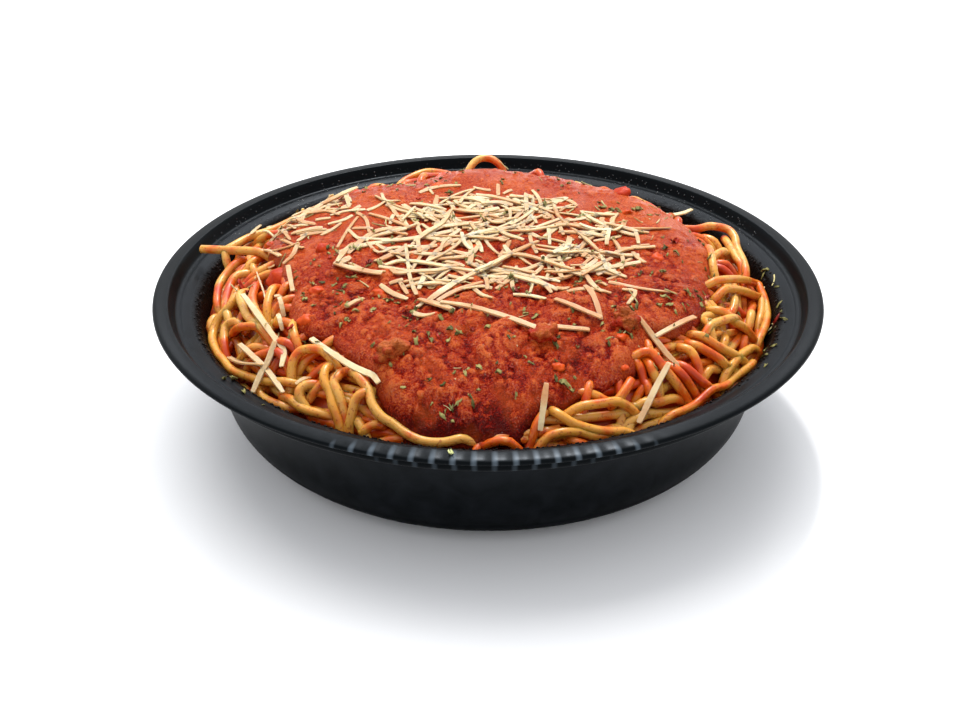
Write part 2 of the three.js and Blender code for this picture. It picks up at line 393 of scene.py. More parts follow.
# Strands that stand out, as (x, y, height above the rim).
LAID_STRANDS = {
    "straight_left": [(-102, 19, 1.5), (-91, 15, 3), (-80, 11, 4.5), (-74, 9, 5)],
    "arc_left_back": [(-90, 11, -5), (-92, 12, -2.5), (-93, 16, -1), (-93, 22, -0.5), (-91, 26, 0),
        (-86, 32, 0.4), (-78, 38, 0.8), (-70, 49, 0.6), (-64, 57, 0)],
    "lean_a": [(-86, 14, 1), (-90, 9, -1), (-93, 2, -3), (-93, -6, -4), (-92, -12, -5), (-89, -16, -6)],
    "lean_b": [(-83, 4, 3.8), (-87, 2, 0.5), (-89, -3, -2.2), (-89, -13, -3), (-88, -19, -3.6),
        (-85, -27, -3.3)],
    "outer_loop": [(-84, -5, 2.6), (-85, -11, 0.9), (-86, -17, -0.6), (-88, -19, -3.8), (-91, -21, -7.4),
        (-92, -26, -8.9), (-90, -35, -9), (-86, -42, -9), (-82, -49, -8.9), (-76, -55, -7.6),
        (-71, -60, -6.2), (-66, -64, -4.2), (-61, -66, -2.2), (-57, -65, -0.4)],
    "inner_loop": [(-79, -33, 0.3), (-82, -30, -0.8), (-85, -28, -2.6), (-87, -28, -4.7), (-87, -32, -6.3),
        (-86, -37, -7.6), (-84, -41, -7.6)],
    "orange_a": [(-80, -12, 4.4), (-82, -14, 3), (-83, -19, 2), (-81, -25, 1.5), (-79, -31, 1.5),
        (-75, -38, 2), (-71, -43, 2.5), (-68, -46, 2.8)],
    "orange_b": [(-78, -10, 5.6), (-78, -17, 4.8), (-78, -24, 3.9), (-76, -31, 3.3), (-73, -38, 3.2),
        (-69, -43, 3.3)],
    "orange_c": [(-69, -17, 8.5), (-71, -22, 7.4), (-72, -28, 6.1), (-72, -33, 4.4), (-71, -38, 3.1)],
    "orange_d": [(-85, -30, -5.1), (-79, -37, -1.9), (-74, -40, 0.7), (-70, -43, 1.6)],
    "orange_e": [(-69, -47, 1.4), (-74, -46, -1.2), (-78, -45, -3.9), (-82, -43, -6.8)],
    "hook": [(-62, -67, -4), (-61, -65, -1.9), (-61, -62, 0.4), (-60, -60, 2.6), (-58, -59, 4.4),
        (-54, -60, 5.5), (-50, -62, 5.7), (-46, -65, 5)],
    "rim_a": [(-64, -67, -5.8), (-61, -70, -6.4), (-58, -74, -7), (-55, -76, -7.3), (-52, -78, -6.9),
        (-49, -79, -5.9), (-45, -79, -4.5)],
    "cut_orange": [(-52, -68, 1.6), (-56, -69, -0.9), (-58, -71, -3.6), (-57, -73, -5.8), (-53, -76, -6.5)],
    "front_a": [(-48, -63, 5.6), (-49, -66, 4.5), (-50, -68, 2.9), (-50, -72, 0.9), (-48, -75, -1.3),
        (-47, -79, -3.7), (-45, -82, -6.1), (-44, -85, -9)],
    "front_b": [(-44, -66, 5.2), (-45, -68, 4.1), (-46, -71, 2.5), (-47, -73, 0.6), (-45, -77, -1.3),
        (-44, -79, -3.1), (-43, -82, -5.4)],
    "front_v": [(-34, -75, 3.9), (-35, -77, 2.9), (-38, -79, 1.4), (-40, -80, -0.7), (-41, -82, -3),
        (-42, -84, -5.6), (-42, -86, -9.2)],
    "front_long": [(-42, -67, 5.3), (-41, -70, 4.5), (-39, -74, 3.1), (-36, -78, 1.4), (-35, -82, -0.8),
        (-32, -86, -3), (-28, -88, -4.7), (-24, -91, -6.3), (-20, -93, -7.1), (-15, -94, -7.2),
        (-11, -94, -6.5), (-7, -93, -5.5), (-2, -93, -5.7)],
    "front_c": [(-40, -82, -4.7), (-38, -85, -6.2), (-36, -88, -8.7)],
    "front_d": [(-31, -86, -4.8), (-34, -86, -6.5), (-38, -87, -8.8)],
    "stub_a": [(-9, -96, -9.2), (-7, -95, -7.5), (-6, -94, -6.4), (-4, -93, -5.6)],
    "arch_front": [(12, -95, -9.4), (13, -95, -7.9), (16, -93, -6), (20, -92, -4.9), (24, -91, -5),
        (28, -90, -6.1), (31, -90, -7.7), (34, -89, -8.4), (38, -87, -8.1), (43, -85, -8.5)],
    "wavy": [(17, -83, 2.1), (19, -86, 0.6), (21, -88, -1.1), (24, -89, -3.1), (27, -89, -4.6),
        (32, -89, -6), (37, -88, -7.2), (41, -86, -8), (46, -84, -8.7)],
    "tinted": [(21, -85, -0.1), (24, -85, -0.1), (29, -84, -0.4), (35, -82, -0.6), (40, -80, -1.2),
        (45, -79, -2.6)],
    "upright": [(43, -81, -3.5), (42, -83, -4.9), (41, -85, -6.5), (40, -86, -8.6)],
    "blob_end": [(36, -80, 0.7), (39, -79, 0.6), (41, -77, 1.1), (43, -73, 1.7)],
    "kinked": [(42, -64, 7.2), (44, -64, 6.9), (47, -63, 6.6), (50, -63, 5.8), (52, -65, 3.9),
        (54, -67, 2), (56, -68, -0.4), (60, -69, -3.7), (63, -69, -7.2)],
    "beside_kink": [(47, -62, 5.6), (49, -65, 4.3), (50, -68, 2.5), (52, -70, 0.1), (52, -73, -2.7)],
    "right_a": [(53, -61, 4.8), (55, -63, 3.1), (58, -65, 0.9), (60, -66, -1), (62, -66, -3.5),
        (65, -67, -6.3), (67, -68, -9.2)],
    "right_b": [(57, -59, 3.7), (60, -61, 1.6), (63, -63, -1.5), (67, -64, -4.9), (71, -62, -8.1),
        (74, -61, -9.8)],
    "right_rim": [(50, -80, -7.6), (56, -77, -7.9), (61, -73, -8.4), (65, -69, -8.6), (69, -65, -8.8),
        (74, -60, -8.7), (78, -54, -8.6), (83, -48, -8.8), (86, -44, -8.8), (89, -39, -8.9)],
    "white_tip": [(91, -37, -8.3), (88, -35, -8), (83, -42, -6), (80, -47, -5.2), (77, -52, -5.6),
        (74, -57, -7), (73, -61, -9.2)],
    "pair_a": [(62, -45, 6.1), (65, -47, 4.8), (68, -48, 3.1), (72, -49, 0.5), (76, -48, -2.3),
        (80, -47, -5.3), (84, -44, -9.1)],
    "pair_b": [(61, -49, 5.3), (64, -52, 3.7), (67, -53, 1.6), (71, -53, -1), (75, -53, -3.9),
        (79, -50, -7.2)],
    "down_a": [(59, -51, 5.5), (60, -54, 4.5), (63, -56, 2.5), (65, -59, 0.2), (66, -61, -2.6),
        (67, -64, -5.7)],
    "down_b": [(69, -35, 5.8), (70, -39, 5), (71, -43, 3.4), (72, -46, 1.2), (75, -47, -1.6)],
    "straight_right": [(71, -28, 6), (73, -31, 5.2), (77, -32, 3.2), (81, -33, -0.1), (85, -31, -3.5),
        (90, -28, -7.4)],
    "big_loop": [(70, -17, 7.8), (75, -16, 6.7), (81, -10, 4.1), (89, 1, -1.6), (95, 10, -8),
        (98, 4, -8.3), (98, -3, -8.5), (96, -10, -8.7), (94, -18, -8.8), (91, -26, -9), (88, -33, -9.2)],
    "second_loop": [(75, -21, 6), (80, -16, 3.6), (86, -9, -0.6), (92, -3, -5.5), (95, -1, -9.2),
        (94, -9, -9.5), (91, -19, -8.1)],
    "back_loop": [(61, 27, 5), (66, 29, 4.4), (71, 32, 3.4), (76, 33, 2.8), (81, 36, 2.6), (84, 36, 2.6),
        (88, 35, 1.8), (90, 31, 0.6), (90, 25, -0.8), (91, 17, -1.8), (91, 9, -2.6), (90, 4, -4)],
    "back_loop_in": [(87, 35, -1), (87, 29, -0.6), (88, 23, -0.8), (89, 17, -1.6), (90, 13, -2.8),
        (90, 8, -4.6)],
    "knob": [(75, 7, 2.5), (79, 11, 2.4), (83, 17, 1.4), (86, 22, -0.4), (89, 23, -3)],
    "pale_up": [(75, 14, 7.3), (77, 9, 7.2), (77, 0, 7), (77, -6, 6.1), (78, -11, 4.2)],
    "arch": [(-9, 78, 0), (-9, 83, 2), (-7, 85, 4.6), (-5, 88, 6.6), (-2, 90, 7.6), (2, 90, 7.2),
        (5, 88, 5.6), (7, 86, 3.2), (8, 82, 0.6)],
    "back_a": [(-37, 71, 1), (-33, 79, 1.6), (-30, 82, 2.6), (-24, 86, 3.2), (-18, 85, 3.2),
        (-13, 83, 2.6), (-8, 79, 1.2)],
    "back_b": [(-50, 68, 1), (-46, 72, 1.6), (-43, 74, 2), (-38, 73, 1.8), (-34, 71, 0.8)],
    "back_end": [(30, 68, 4), (35, 68, 3.6), (40, 68, 2.4), (44, 70, 2), (49, 76, 2)],
    "right_low": [(67, -48, 1.8), (73, -40, 1), (80, -33, -1.3), (85, -27, -4.3)],
    "right_low2": [(80, -20, 1.2), (80, -26, 0.1), (82, -29, -1.8)],
    "right_low3": [(90, -11, -5.3), (88, -21, -4.7), (86, -26, -5.3)],
}
GAP = (84.0, 44.0, 5.5)      # x, y, radius of a hole in the heap that shows the bare wall
CLEAN_STRANDS = (
    "straight_left", "arc_left_back", "outer_loop", "front_a", "front_v", "front_long", "arch_front",
    "wavy", "upright", "kinked", "pair_a", "down_a", "white_tip", "big_loop", "back_loop", "pale_up",
    "arch", "back_a", "straight_right", "knob")
OPEN_ENDS = ("straight_left", "blob_end")      # the first of these shows its first end, the second its last
LAID_SPACING = 1.3           # between the points of a laid strand
WANDERING_SPACING = 1.5      # between the points of a random one
BED_SPACING = 1.6            # between the points of the lowest ones
FURTHEST = 96.0              # no strand's middle goes further out


def from_gap(x, y):
    """Distance of x, y from the middle of the hole in the heap."""
    return np.hypot(x - GAP[0], y - GAP[1])


def curling_paths(rng, count, length):
    """Paths that wander round the ring between the sauce and the wall, some of them in tight loops."""
    angle = rng.uniform(0, FULL_TURN, count)
    start = rng.uniform(77, 95, count)
    place = np.stack([start * np.cos(angle), start * np.sin(angle)], axis=1)
    heading = angle + rng.choice([-1, 1], count) * math.pi / 2 + rng.normal(0, 0.7, count)
    bend = rng.normal(0, 1 / 34, count)
    wave, phase = rng.uniform(7, 20, count), rng.uniform(0, 6.28, count)
    swing = rng.uniform(0, 0.045, count)
    paths = [place]
    for k in range(int(length / WANDERING_SPACING)):
        far = np.linalg.norm(place, axis=1)
        ahead = np.stack([np.cos(heading), np.sin(heading)], axis=1)
        out = place / far[:, None]
        turn_in = np.sign(ahead[:, 1] * out[:, 0] - ahead[:, 0] * out[:, 1])
        outside = np.clip((far - 90) / 4, 0, 1.6)
        hidden = sauce_reach(np.arctan2(place[:, 1], place[:, 0])) - far
        inside = np.clip((hidden - 4) / 6, 0, 1)
        curve = bend + swing * np.sin(k * WANDERING_SPACING / wave + phase)
        curve = curve * (1 - np.minimum(outside + inside, 1)) + turn_in * (outside - inside) / 13
        heading = heading + WANDERING_SPACING * curve
        place = place + WANDERING_SPACING * ahead
        far = np.linalg.norm(place, axis=1)
        place = place / far[:, None] * np.minimum(far, FURTHEST)[:, None]
        paths.append(place)
    return np.stack(paths, axis=1)


def kept_inside(path):
    """The path moved in where it would touch the bowl's wall."""
    far = np.hypot(path[:, 0], path[:, 1])
    free = path[:, 2] > RIM - 5.0
    limit = np.where(free, 120.0, wall_radius(path[:, 2]) - STRAND - 0.15)
    path[:, :2] *= np.minimum(1, limit / far)[:, None]
    return path


def dived(path, first=True, last=True):
    """The path with its ends bent down under the strands beside it."""
    depth, length = 4.6, 7.5
    away = np.concatenate([[0], np.cumsum(np.linalg.norm(np.diff(path[:, :2], axis=0), axis=1))])
    path[:, 2] -= first * depth * np.clip(1 - away / length, 0, 1)**1.6
    path[:, 2] -= last * depth * np.clip(1 - (away[-1] - away) / length, 0, 1)**1.6
    return path


def bedding_paths(rng):
    """Flat paths that run round the bowl side by side, the lowest strands between the sauce and the wall."""
    paths = []
    for far in np.arange(72, 96.5, 2.7):
        start = rng.uniform(0, FULL_TURN)
        turned = 0.0
        while turned < FULL_TURN:
            sweep = rng.uniform(60, 130) / far
            turn = start + np.arange(turned, turned + sweep, BED_SPACING / far)
            turned += sweep + 0.02
            ring = np.stack([np.cos(turn), np.sin(turn)], axis=1)
            radius = far + 2.2 * noise(ring * far, 17, int(far)) + rng.uniform(-2, 2) * (turn - turn.mean())
            paths.append(ring * np.minimum(radius, FURTHEST)[:, None])
    return paths


def laid_paths():
    """The strands that stand out, where they were laid."""
    paths = []
    for marks in LAID_STRANDS.values():
        path = curve_through(marks, LAID_SPACING)
        path[:, 2] += RIM
        paths.append(path)
    return paths


def ceiling_below(paths):
    """Height map that other strands must stay below, so that they hide none of these paths."""
    clearance, width = 2.5, 2.6
    upside_down = np.full_like(GRID_X, NOTHING)
    for path in paths:
        raise_along(upside_down, path * (1, 1, -1) + (0, 0, clearance), width, 0.0)
    return -upside_down


def pressed_below(ceiling, flat, z):
    """Heights pressed down below the strands that stand out."""
    z = np.minimum(z, ceiling[cell_of(flat[:, 1]), cell_of(flat[:, 0])])
    for _ in range(4):
        z[1:-1] = np.minimum(z[1:-1], (z[:-2] + z[2:]) / 2 + 0.12)
    return z


def best_of(paths, ground, depth, taken, avoid):
    """The flat path that lies best in the dips of the heap, and how badly it lies there."""
    x, y = paths[..., 0], paths[..., 1]
    lower = depth + 0.8 * np.clip((y - 25) / 40, 0, 1)
    lift = sample(ground, x, y) - heap(x, y) + lower
    in_gap = from_gap(x, y) < GAP[2] + 2
    cost = np.mean(np.maximum(lift, -1)**2 + 4 * np.maximum(lift, 0), axis=1) + 60 * in_gap.mean(axis=1)
    cost += avoid * sample(taken, x, y).mean(axis=1)
    return paths[np.argmin(cost)], cost.min()


def spaghetti_paths(seed):
    """Centre line of each strand with how clean it is, lowest first, and the height map of their tops."""
    rng = np.random.default_rng(seed)
    ground = heap(GRID_X, GRID_Y) - 9.0 - 1.0 * np.clip((GRID_FAR - 84) / 10, 0, 1)
    shown = laid_paths()
    ceiling = ceiling_below(shown)
    taken = blurred((ceiling < -NOTHING).astype(float), 0.8)
    strands = []

    def add(path, clean=0.0):
        """Puts one strand on the heap."""
        raise_along(ground, path, STRAND)
        strands.append((path, clean))

    def fill(count, depth, tries, limit, avoid):
        """Fills dips of the heap with random strands; avoid keeps them off the strands that stand out."""
        for _ in range(count):
            length = rng.choice([60, 90, 125, 165])
            flat, cost = best_of(curling_paths(rng, tries, length), ground, depth, taken, avoid)
            if cost > limit:
                continue
            z = rest_on(ground, flat, STRAND * 0.75)
            under = heap(flat[:, 0], flat[:, 1]) - 3.4
            weight = np.clip(under_sauce(flat[:, 0], flat[:, 1]) / 4, 0, 1)
            z = np.where(z > under, z * (1 - weight) + under * weight, z)
            if not avoid:
                z = pressed_below(ceiling, flat, z)
            add(kept_inside(dived(np.column_stack([flat, z]))))

    for flat in bedding_paths(rng):
        x, y = flat.T
        under = heap(x, y) - 5.2 + 2.4 * np.clip((np.hypot(x, y) - 84) / 8, 0, 1)
        under = under - 3.0 * (from_gap(x, y) < GAP[2] + 1)
        z = np.minimum(rest_on(ground, flat, STRAND * 0.75), under)
        add(kept_inside(np.column_stack([flat, pressed_below(ceiling, flat, z)])))
    fill(150, depth=4.0, tries=20, limit=3.4, avoid=0.0)
    for name, path in zip(LAID_STRANDS, shown):
        lowest = rest_on(ground, path[:, :2], STRAND * 0.4) - 2.2
        path[:, 2] = np.maximum(path[:, 2], lowest)
        for _ in range(8):
            path[1:-1, 2] = (path[:-2, 2] + 2 * path[1:-1, 2] + path[2:, 2]) / 4
        dived(path, first=name != OPEN_ENDS[0], last=name != OPEN_ENDS[1])
        add(kept_inside(path), 0.34 if name in CLEAN_STRANDS else 0.08)
    fill(60, depth=2.8, tries=30, limit=3.2, avoid=14.0)
    return strands, ground


def spaghetti(name, strands, tree, seed):
    """Strands as round bars, stained with the sauce that clings to them and, deep in the heap, with painted
    shade: strands are (path, how clean).
    """
    rng = np.random.default_rng(seed)
    bars = []
    for path, clean in strands:
        thick = rng.uniform(0.94, 1.03) * (1 + 0.03 * noise(path, 9, 5))
        bars.append(bar(path, thick, own=rng.uniform(-0.25, 0.25) - clean, tone=rng.uniform(0, 1)))
    points, edges, values = joined(bars)
    sizes = {"Radius": STRAND * MM, "Sides": 10}
    made = grown(name, points, tree, sizes, edges, **values)
    points = points_of(made)
    x, y, z = points.T
    # near the sauce the stain is sauce that clings; deeper in the heap it is also painted shade in the gaps
    # between strands
    depth = np.clip((heap(x, y) + 1.4 - z) / 6.0, 0, 1)
    inside = np.clip((5.0 + under_sauce(x, y)) / 13.0, 0, 1)
    stain = 0.28 + 0.36 * depth + 0.36 * inside + read(made, "own") + 0.55 * noise(points, 10, 8)
    paint(made.data, stain=np.clip(stain, 0, 1))
    return made


CORE_REACH = 93.0            # how far the core's top reaches from the middle
CORE_TOP = RIM + 6.5
CORE_BOTTOM = 1.3            # just above the bowl's floor
# The core's side from its top down, as (radius, height).
CORE_SIDE = ((92.6, 36), (91.8, 30), (91.0, 18.4), (87.4, 9), (78.5, 2.4), (40, CORE_BOTTOM))


def pasta_core(material):
    """The closed heap under the loose strands, down to the bowl's floor."""
    count = 120
    angles = np.arange(count) / count * FULL_TURN
    rings = []
    for share in np.linspace(0, 1, 30)[1:]:
        radius = CORE_REACH * share
        x, y = radius * np.cos(angles), radius * np.sin(angles)
        z = heap(x, y) - 7.0 - 2.0 * np.clip((radius - 84) / 9, 0, 1) + 0.9 * noise(np.stack([x, y], 1), 7, 3)
        rings.append(np.stack([x, y, z], axis=1))
    for radius, z in CORE_SIDE:
        rings.append(np.stack([radius * np.cos(angles), radius * np.sin(angles), np.full(count, z)], axis=1))
    points = np.vstack(rings + [[(0, 0, CORE_TOP), (0, 0, CORE_BOTTOM)]])
    last = (len(rings) - 1) * count
    top, bottom = len(points) - 2, len(points) - 1
    after = [(i + 1) % count for i in range(count)]
    faces = [(start + i, start + count + i, start + count + after[i], start + after[i])
             for start in range(0, last, count) for i in range(count)]
    faces += [(top, i, after[i]) for i in range(count)]
    faces += [(bottom, last + after[i], last + i) for i in range(count)]
    return mesh_piece("pasta_core", points, faces, material,
                      stain=np.full(len(points), 1.0), tone=np.full(len(points), 0.4))


# ---------- meat sauce ----------

# Outline of the sauce as (direction in degrees, radius).
SAUCE_OUTLINE = [
    (0, 78), (12, 79), (25, 80), (40, 78), (52, 76), (62, 74), (75, 77), (86, 80), (95, 79), (105, 74),
    (115, 72), (124, 75), (133, 79), (149, 82), (163, 81), (170, 78), (176, 76), (184, 71), (192, 70),
    (202, 71), (210, 74), (218, 78), (222, 77), (227, 73), (232, 76), (238, 78), (245, 82), (250, 90),
    (254, 95), (259, 96), (265, 94), (270, 96), (275, 96), (278, 91), (283, 87), (288, 84), (293, 85),
    (298, 82), (303, 82), (309, 77), (314, 75), (320, 77), (326, 78), (333, 77), (342, 77), (351, 76)]


def sauce_reach(angle):
    """Radius of the sauce's ragged outline."""
    degrees = np.degrees(angle) % 360
    marks = np.array(SAUCE_OUTLINE, float)
    smooth = np.interp(degrees, marks[:, 0], marks[:, 1], period=360)
    around = np.stack([np.cos(angle).ravel() * 80, np.sin(angle).ravel() * 80], axis=1)
    ragged = 1.3 * noise(around, 9, 31) + 0.9 * noise(around, 4, 32)
    return smooth + ragged.reshape(smooth.shape)


def under_sauce(x, y):
    """How far x, y lies inside the sauce's outline."""
    return sauce_reach(np.arctan2(y, x)) - np.hypot(x, y)


# Minced meat, as (how many crumbs, smallest radius, largest radius, height as a share of the radius).
MINCE = ((2600, 0.6, 1.3, 0.62), (420, 1.3, 2.4, 0.42), (110, 2.4, 4.2, 0.32))
# Creased lumps and then grains of the sauce, as (height, distance from hill to hill, seed).
LUMPS = ((1.15, 10.5, 42), (0.45, 5.0, 43))
GRAINS = ((0.30, 3.3, 46), (0.22, 1.9, 47), (0.24, 1.15, 48))


def crumbs_of_meat(seed):
    """Relief of the minced meat under the sauce, and where its crumbs are bare."""
    rng = np.random.default_rng(seed)
    relief = np.zeros_like(GRID_X)
    bare = np.zeros_like(GRID_X)
    for small, large, share in (kind[1:] for kind in MINCE for _ in range(kind[0])):
        angle, far = rng.uniform(0, FULL_TURN), 92 * math.sqrt(rng.uniform(0, 1))
        x, y = far * math.cos(angle), far * math.sin(angle)
        front = np.clip((18 - y) / 50, 0, 1)
        if rng.uniform() > 0.42 + 0.58 * front:
            continue
        radius = rng.uniform(small, large)
        height = radius * share * (0.5 + 0.5 * front) * rng.uniform(0.6, 1.2)
        span = int(radius * 1.35 / STEP) + 1
        c, r = int(round((x + REACH) / STEP)), int(round((y + REACH) / STEP))
        area = (slice(r - span, r + span + 1), slice(c - span, c + span + 1))
        dx, dy = GRID_X[area] - x, GRID_Y[area] - y
        turn = np.arctan2(dy, dx)
        uneven = 1 + 0.16 * np.sin(2 * turn + rng.uniform(0, 6)) + 0.12 * np.sin(3 * turn + rng.uniform(0, 6))
        swell = np.sqrt(np.maximum(0, 1 - (np.hypot(dx, dy) / (radius * uneven))**2))
        relief[area] = np.maximum(relief[area], height * swell)
        if radius > 1.6 and rng.uniform() < 0.5:
            bare[area] = np.maximum(bare[area], swell**0.5 * rng.uniform(0.4, 1.0))
    return relief, bare


def billow(size, seed):
    """Rounded lumps with creases between them over a whole height map, from 0 to about 1."""
    c, s = math.cos(seed), math.sin(seed)
    turned = FLAT @ np.array([[c, s], [-s, c]])
    return np.minimum(np.abs(noise(turned, size, seed)) * 2.0, 1.2).reshape(GRID_X.shape)


def pulp_relief(front):
    """Relief of the sauce itself, rough at the front and nearly smooth at the back."""
    rough = (0.18 + 0.70 * front) * np.clip(0.8 + 0.7 * field(17, 40), 0.3, 1.4)
    pulp = np.zeros_like(GRID_X)
    for height, size, seed in LUMPS:
        pulp += height * billow(size, seed)
    for height, size, seed in GRAINS:
        pulp += height * field(size, seed)
    return pulp * rough - 0.6 * rough + 1.3 * front * field(12, 44)


def sauce_surface(strand_tops):
    """Height map of the sauce's skin and the maps that colour it, one of them painted shade."""
    inside = under_sauce(GRID_X, GRID_Y)
    shoulder = np.sqrt(np.maximum(0, 1 - (1 - np.clip(inside, 0, 6) / 6)**2))
    relief, bare = crumbs_of_meat(5)
    swell = 1.5 * field(19, 2) + 0.8 * field(9, 4)
    front = np.clip((26 - GRID_Y) / 62, 0, 1)
    skin = heap(GRID_X, GRID_Y) - 2.6 + 3.4 * shoulder + swell * shoulder * 0.7
    skin += (1.05 * relief + pulp_relief(front)) * np.clip(shoulder, 0.5, 1)
    # strands that lie high under it lift it
    covered = blurred(np.minimum(strand_tops, heap(GRID_X, GRID_Y) + 1.5), 1.6) + 0.5
    deep = np.clip((inside - 3) / 6, 0, 1)
    skin = np.maximum(skin, covered * deep + skin * (1 - deep))
    # painted shade: darker in dents, at the front and low down, where shade falls, with a faint random tone
    # over it
    raised = (skin - blurred(skin, 2.4)) / 4.0 + (skin - blurred(skin, 0.8)) / 1.5
    crevice = 0.40 - raised * np.clip(inside / 7, 0, 1) + 0.13 * field(15, 49)
    crevice += 0.18 * front
    crevice = np.clip(crevice + 0.60 * np.clip((RIM + 2.5 - skin) / 8, 0, 1), 0, 1)
    return skin, crevice, bare


def disc_grid(count):
    """Even grid points of the unit disc, the faces between them, and the points on its edge in order."""
    line = np.linspace(-1, 1, count)
    a, b = np.meshgrid(line, line)
    wide = np.abs(a) > np.abs(b)
    radius = np.where(wide, a, b)
    with np.errstate(divide="ignore", invalid="ignore"):
        across, along = np.nan_to_num(b / a), np.nan_to_num(a / b)
    angle = np.where(wide, math.pi / 4 * across, math.pi / 2 - math.pi / 4 * along)
    points = np.stack([(radius * np.cos(angle)).ravel(), (radius * np.sin(angle)).ravel()], axis=1)
    index = np.arange(count * count).reshape(count, count)
    faces = np.stack([index[:-1, :-1], index[:-1, 1:], index[1:, 1:], index[1:, :-1]], axis=-1).reshape(-1, 4)
    border = np.concatenate([index[0, :-1], index[:-1, -1], index[-1, :0:-1], index[:0:-1, 0]])
    return points, faces, border


def meat_sauce(skin, crevice, bare, material):
    """The sauce as a closed layer: its skin, an edge that rolls under, and a plain underside in the heap."""
    disc, faces, border = disc_grid(305)
    angle = np.arctan2(disc[:, 1], disc[:, 0])
    far = sauce_reach(angle) * np.hypot(disc[:, 0], disc[:, 1])
    x, y = far * np.cos(angle), far * np.sin(angle)
    top = np.stack([x, y, sample(skin, x, y)], axis=1)
    layers, rings, faces = [top], [border], faces.tolist()
    for shrink, down in ((0.985, 1.6), (0.95, 3.0), (0.7, 6.0), (0.3, 6.0)):
        lower = top[border] * (shrink, shrink, 1) - (0, 0, down)
        if shrink < 0.9:
            lower[:, 2] = heap(lower[:, 0], lower[:, 1]) - 4.5
        start = sum(len(layer) for layer in layers)
        rings.append(np.arange(start, start + len(border)))
        layers.append(lower)
    after = np.roll(np.arange(len(border)), -1)
    for outer, inner in zip(rings[:-1], rings[1:]):
        faces += np.stack([outer[after], outer, inner, inner[after]], axis=1).tolist()
    middle = sum(len(layer) for layer in layers)
    faces += [(rings[-1][after[k]], rings[-1][k], middle) for k in range(len(border))]
    points = np.vstack(layers + [[(0, 0, RIM + 6.0)]])
    # the painted shade and the bare meat go onto the points
    darkness_with_painted_shade, meat = sample(crevice, *points[:, :2].T), sample(bare, *points[:, :2].T)
    return mesh_piece("meat_sauce_layer", points, faces, material, crevice=darkness_with_painted_shade, meat=meat)


def lump(rng, radius, faces_level, rough, squash):
    """An uneven crumb: points and faces."""
    built = bmesh.new()
    bmesh.ops.create_icosphere(built, subdivisions=faces_level, radius=1.0)
    built.verts.ensure_lookup_table()
    points = np.array([v.co[:] for v in built.verts])
    faces = [[v.index for v in f.verts] for f in built.faces]
    built.free()
    place = points + rng.uniform(0, 90, 3)
    swell = (1 + rough * noise(place, 0.9, 3) + 0.6 * rough * noise(place, 0.42, 4)
             + 0.35 * rough * noise(place, 0.2, 5))
    return points * swell[:, None] * radius * np.array([1, 1, squash]), faces


def turned_about(points, rng, tilt):
    """Points turned by a random turn about z after a random tilt of up to that many radians."""
    direction = rng.uniform(0, FULL_TURN)
    lean = rng.uniform(0, tilt)
    spin = rng.uniform(0, FULL_TURN)
    c, s = math.cos(lean), math.sin(lean)
    x, y = math.cos(direction), math.sin(direction)
    cross = np.array([[0, 0, y], [0, 0, -x], [-y, x, 0]])
    tilted = points @ (np.eye(3) + s * cross + (1 - c) * cross @ cross).T
    c, s = math.cos(spin), math.sin(spin)
    return tilted @ np.array([[c, s, 0], [-s, c, 0], [0, 0, 1]])


# Large crumbs of mince, as (name, x, y, radius, tone, how much sauce covers them); the right one's darkest
# tone is painted shade.
CRUMBLES = (
    ("beef_crumble_left", -30, -69, 4.3, 0.3, 1.0),
    ("beef_crumble_middle", 16, -61, 4.2, 0.5, 1.15),
    ("beef_crumble_right", 42, -51, 4.4, 0.1, 0.9))
# Pieces of tomato that stand out, as (x, y, radius).
TOMATOES = [(-70, -12, 4.6), (-71, -19, 3.4), (50, 50, 3.6), (21, -72, 2.3), (-56, -30, 3.0), (57, -8, 2.4),
            (41, -70, 1.3)]


def beef_crumble(name, x, y, radius, tone, coated, skin, material):
    """A large crumb of mince, rugged on top, with sauce clinging to its foot and in patches."""
    rng = np.random.default_rng(len(name) + int(radius * 10))
    points, faces = lump(rng, radius, 4, 0.50, 0.8)
    points = turned_about(points, rng, 0.6)
    points += (x, y, float(sample(skin, x, y)))
    over = (points[:, 2] - sample(skin, points[:, 0], points[:, 1])) / radius
    stain = np.clip(coated - 1.0 * over + 0.9 * noise(points, 2.4, 6) + 0.4 * noise(points, 1.1, 7), 0, 1)
    return mesh_piece(name + "_piece", points, faces, material, tone=np.full(len(points), tone), stain=stain)


def tomato_pieces(skin, material):
    """Soft pieces of tomato half sunk in the sauce."""
    rng = np.random.default_rng(17)
    small = [(rng.uniform(-60, 60), rng.uniform(-80, 55), rng.uniform(1.4, 3.0)) for _ in range(12)]
    parts = []
    for x, y, radius in TOMATOES + small:
        if math.hypot(x, y) > 76 and y > -60:
            continue
        points, faces = lump(rng, radius, 3, 0.30, 0.6)
        points = turned_about(points, rng, 0.8) + (x, y, float(sample(skin, x, y)) - 0.3 * radius)
        parts.append((points, faces, {"tone": rng.uniform(0, 1)}))
    points, faces, values = joined(parts)
    return mesh_piece("tomato_pieces", points, faces, material, **values)


# ---------- grated cheese ----------

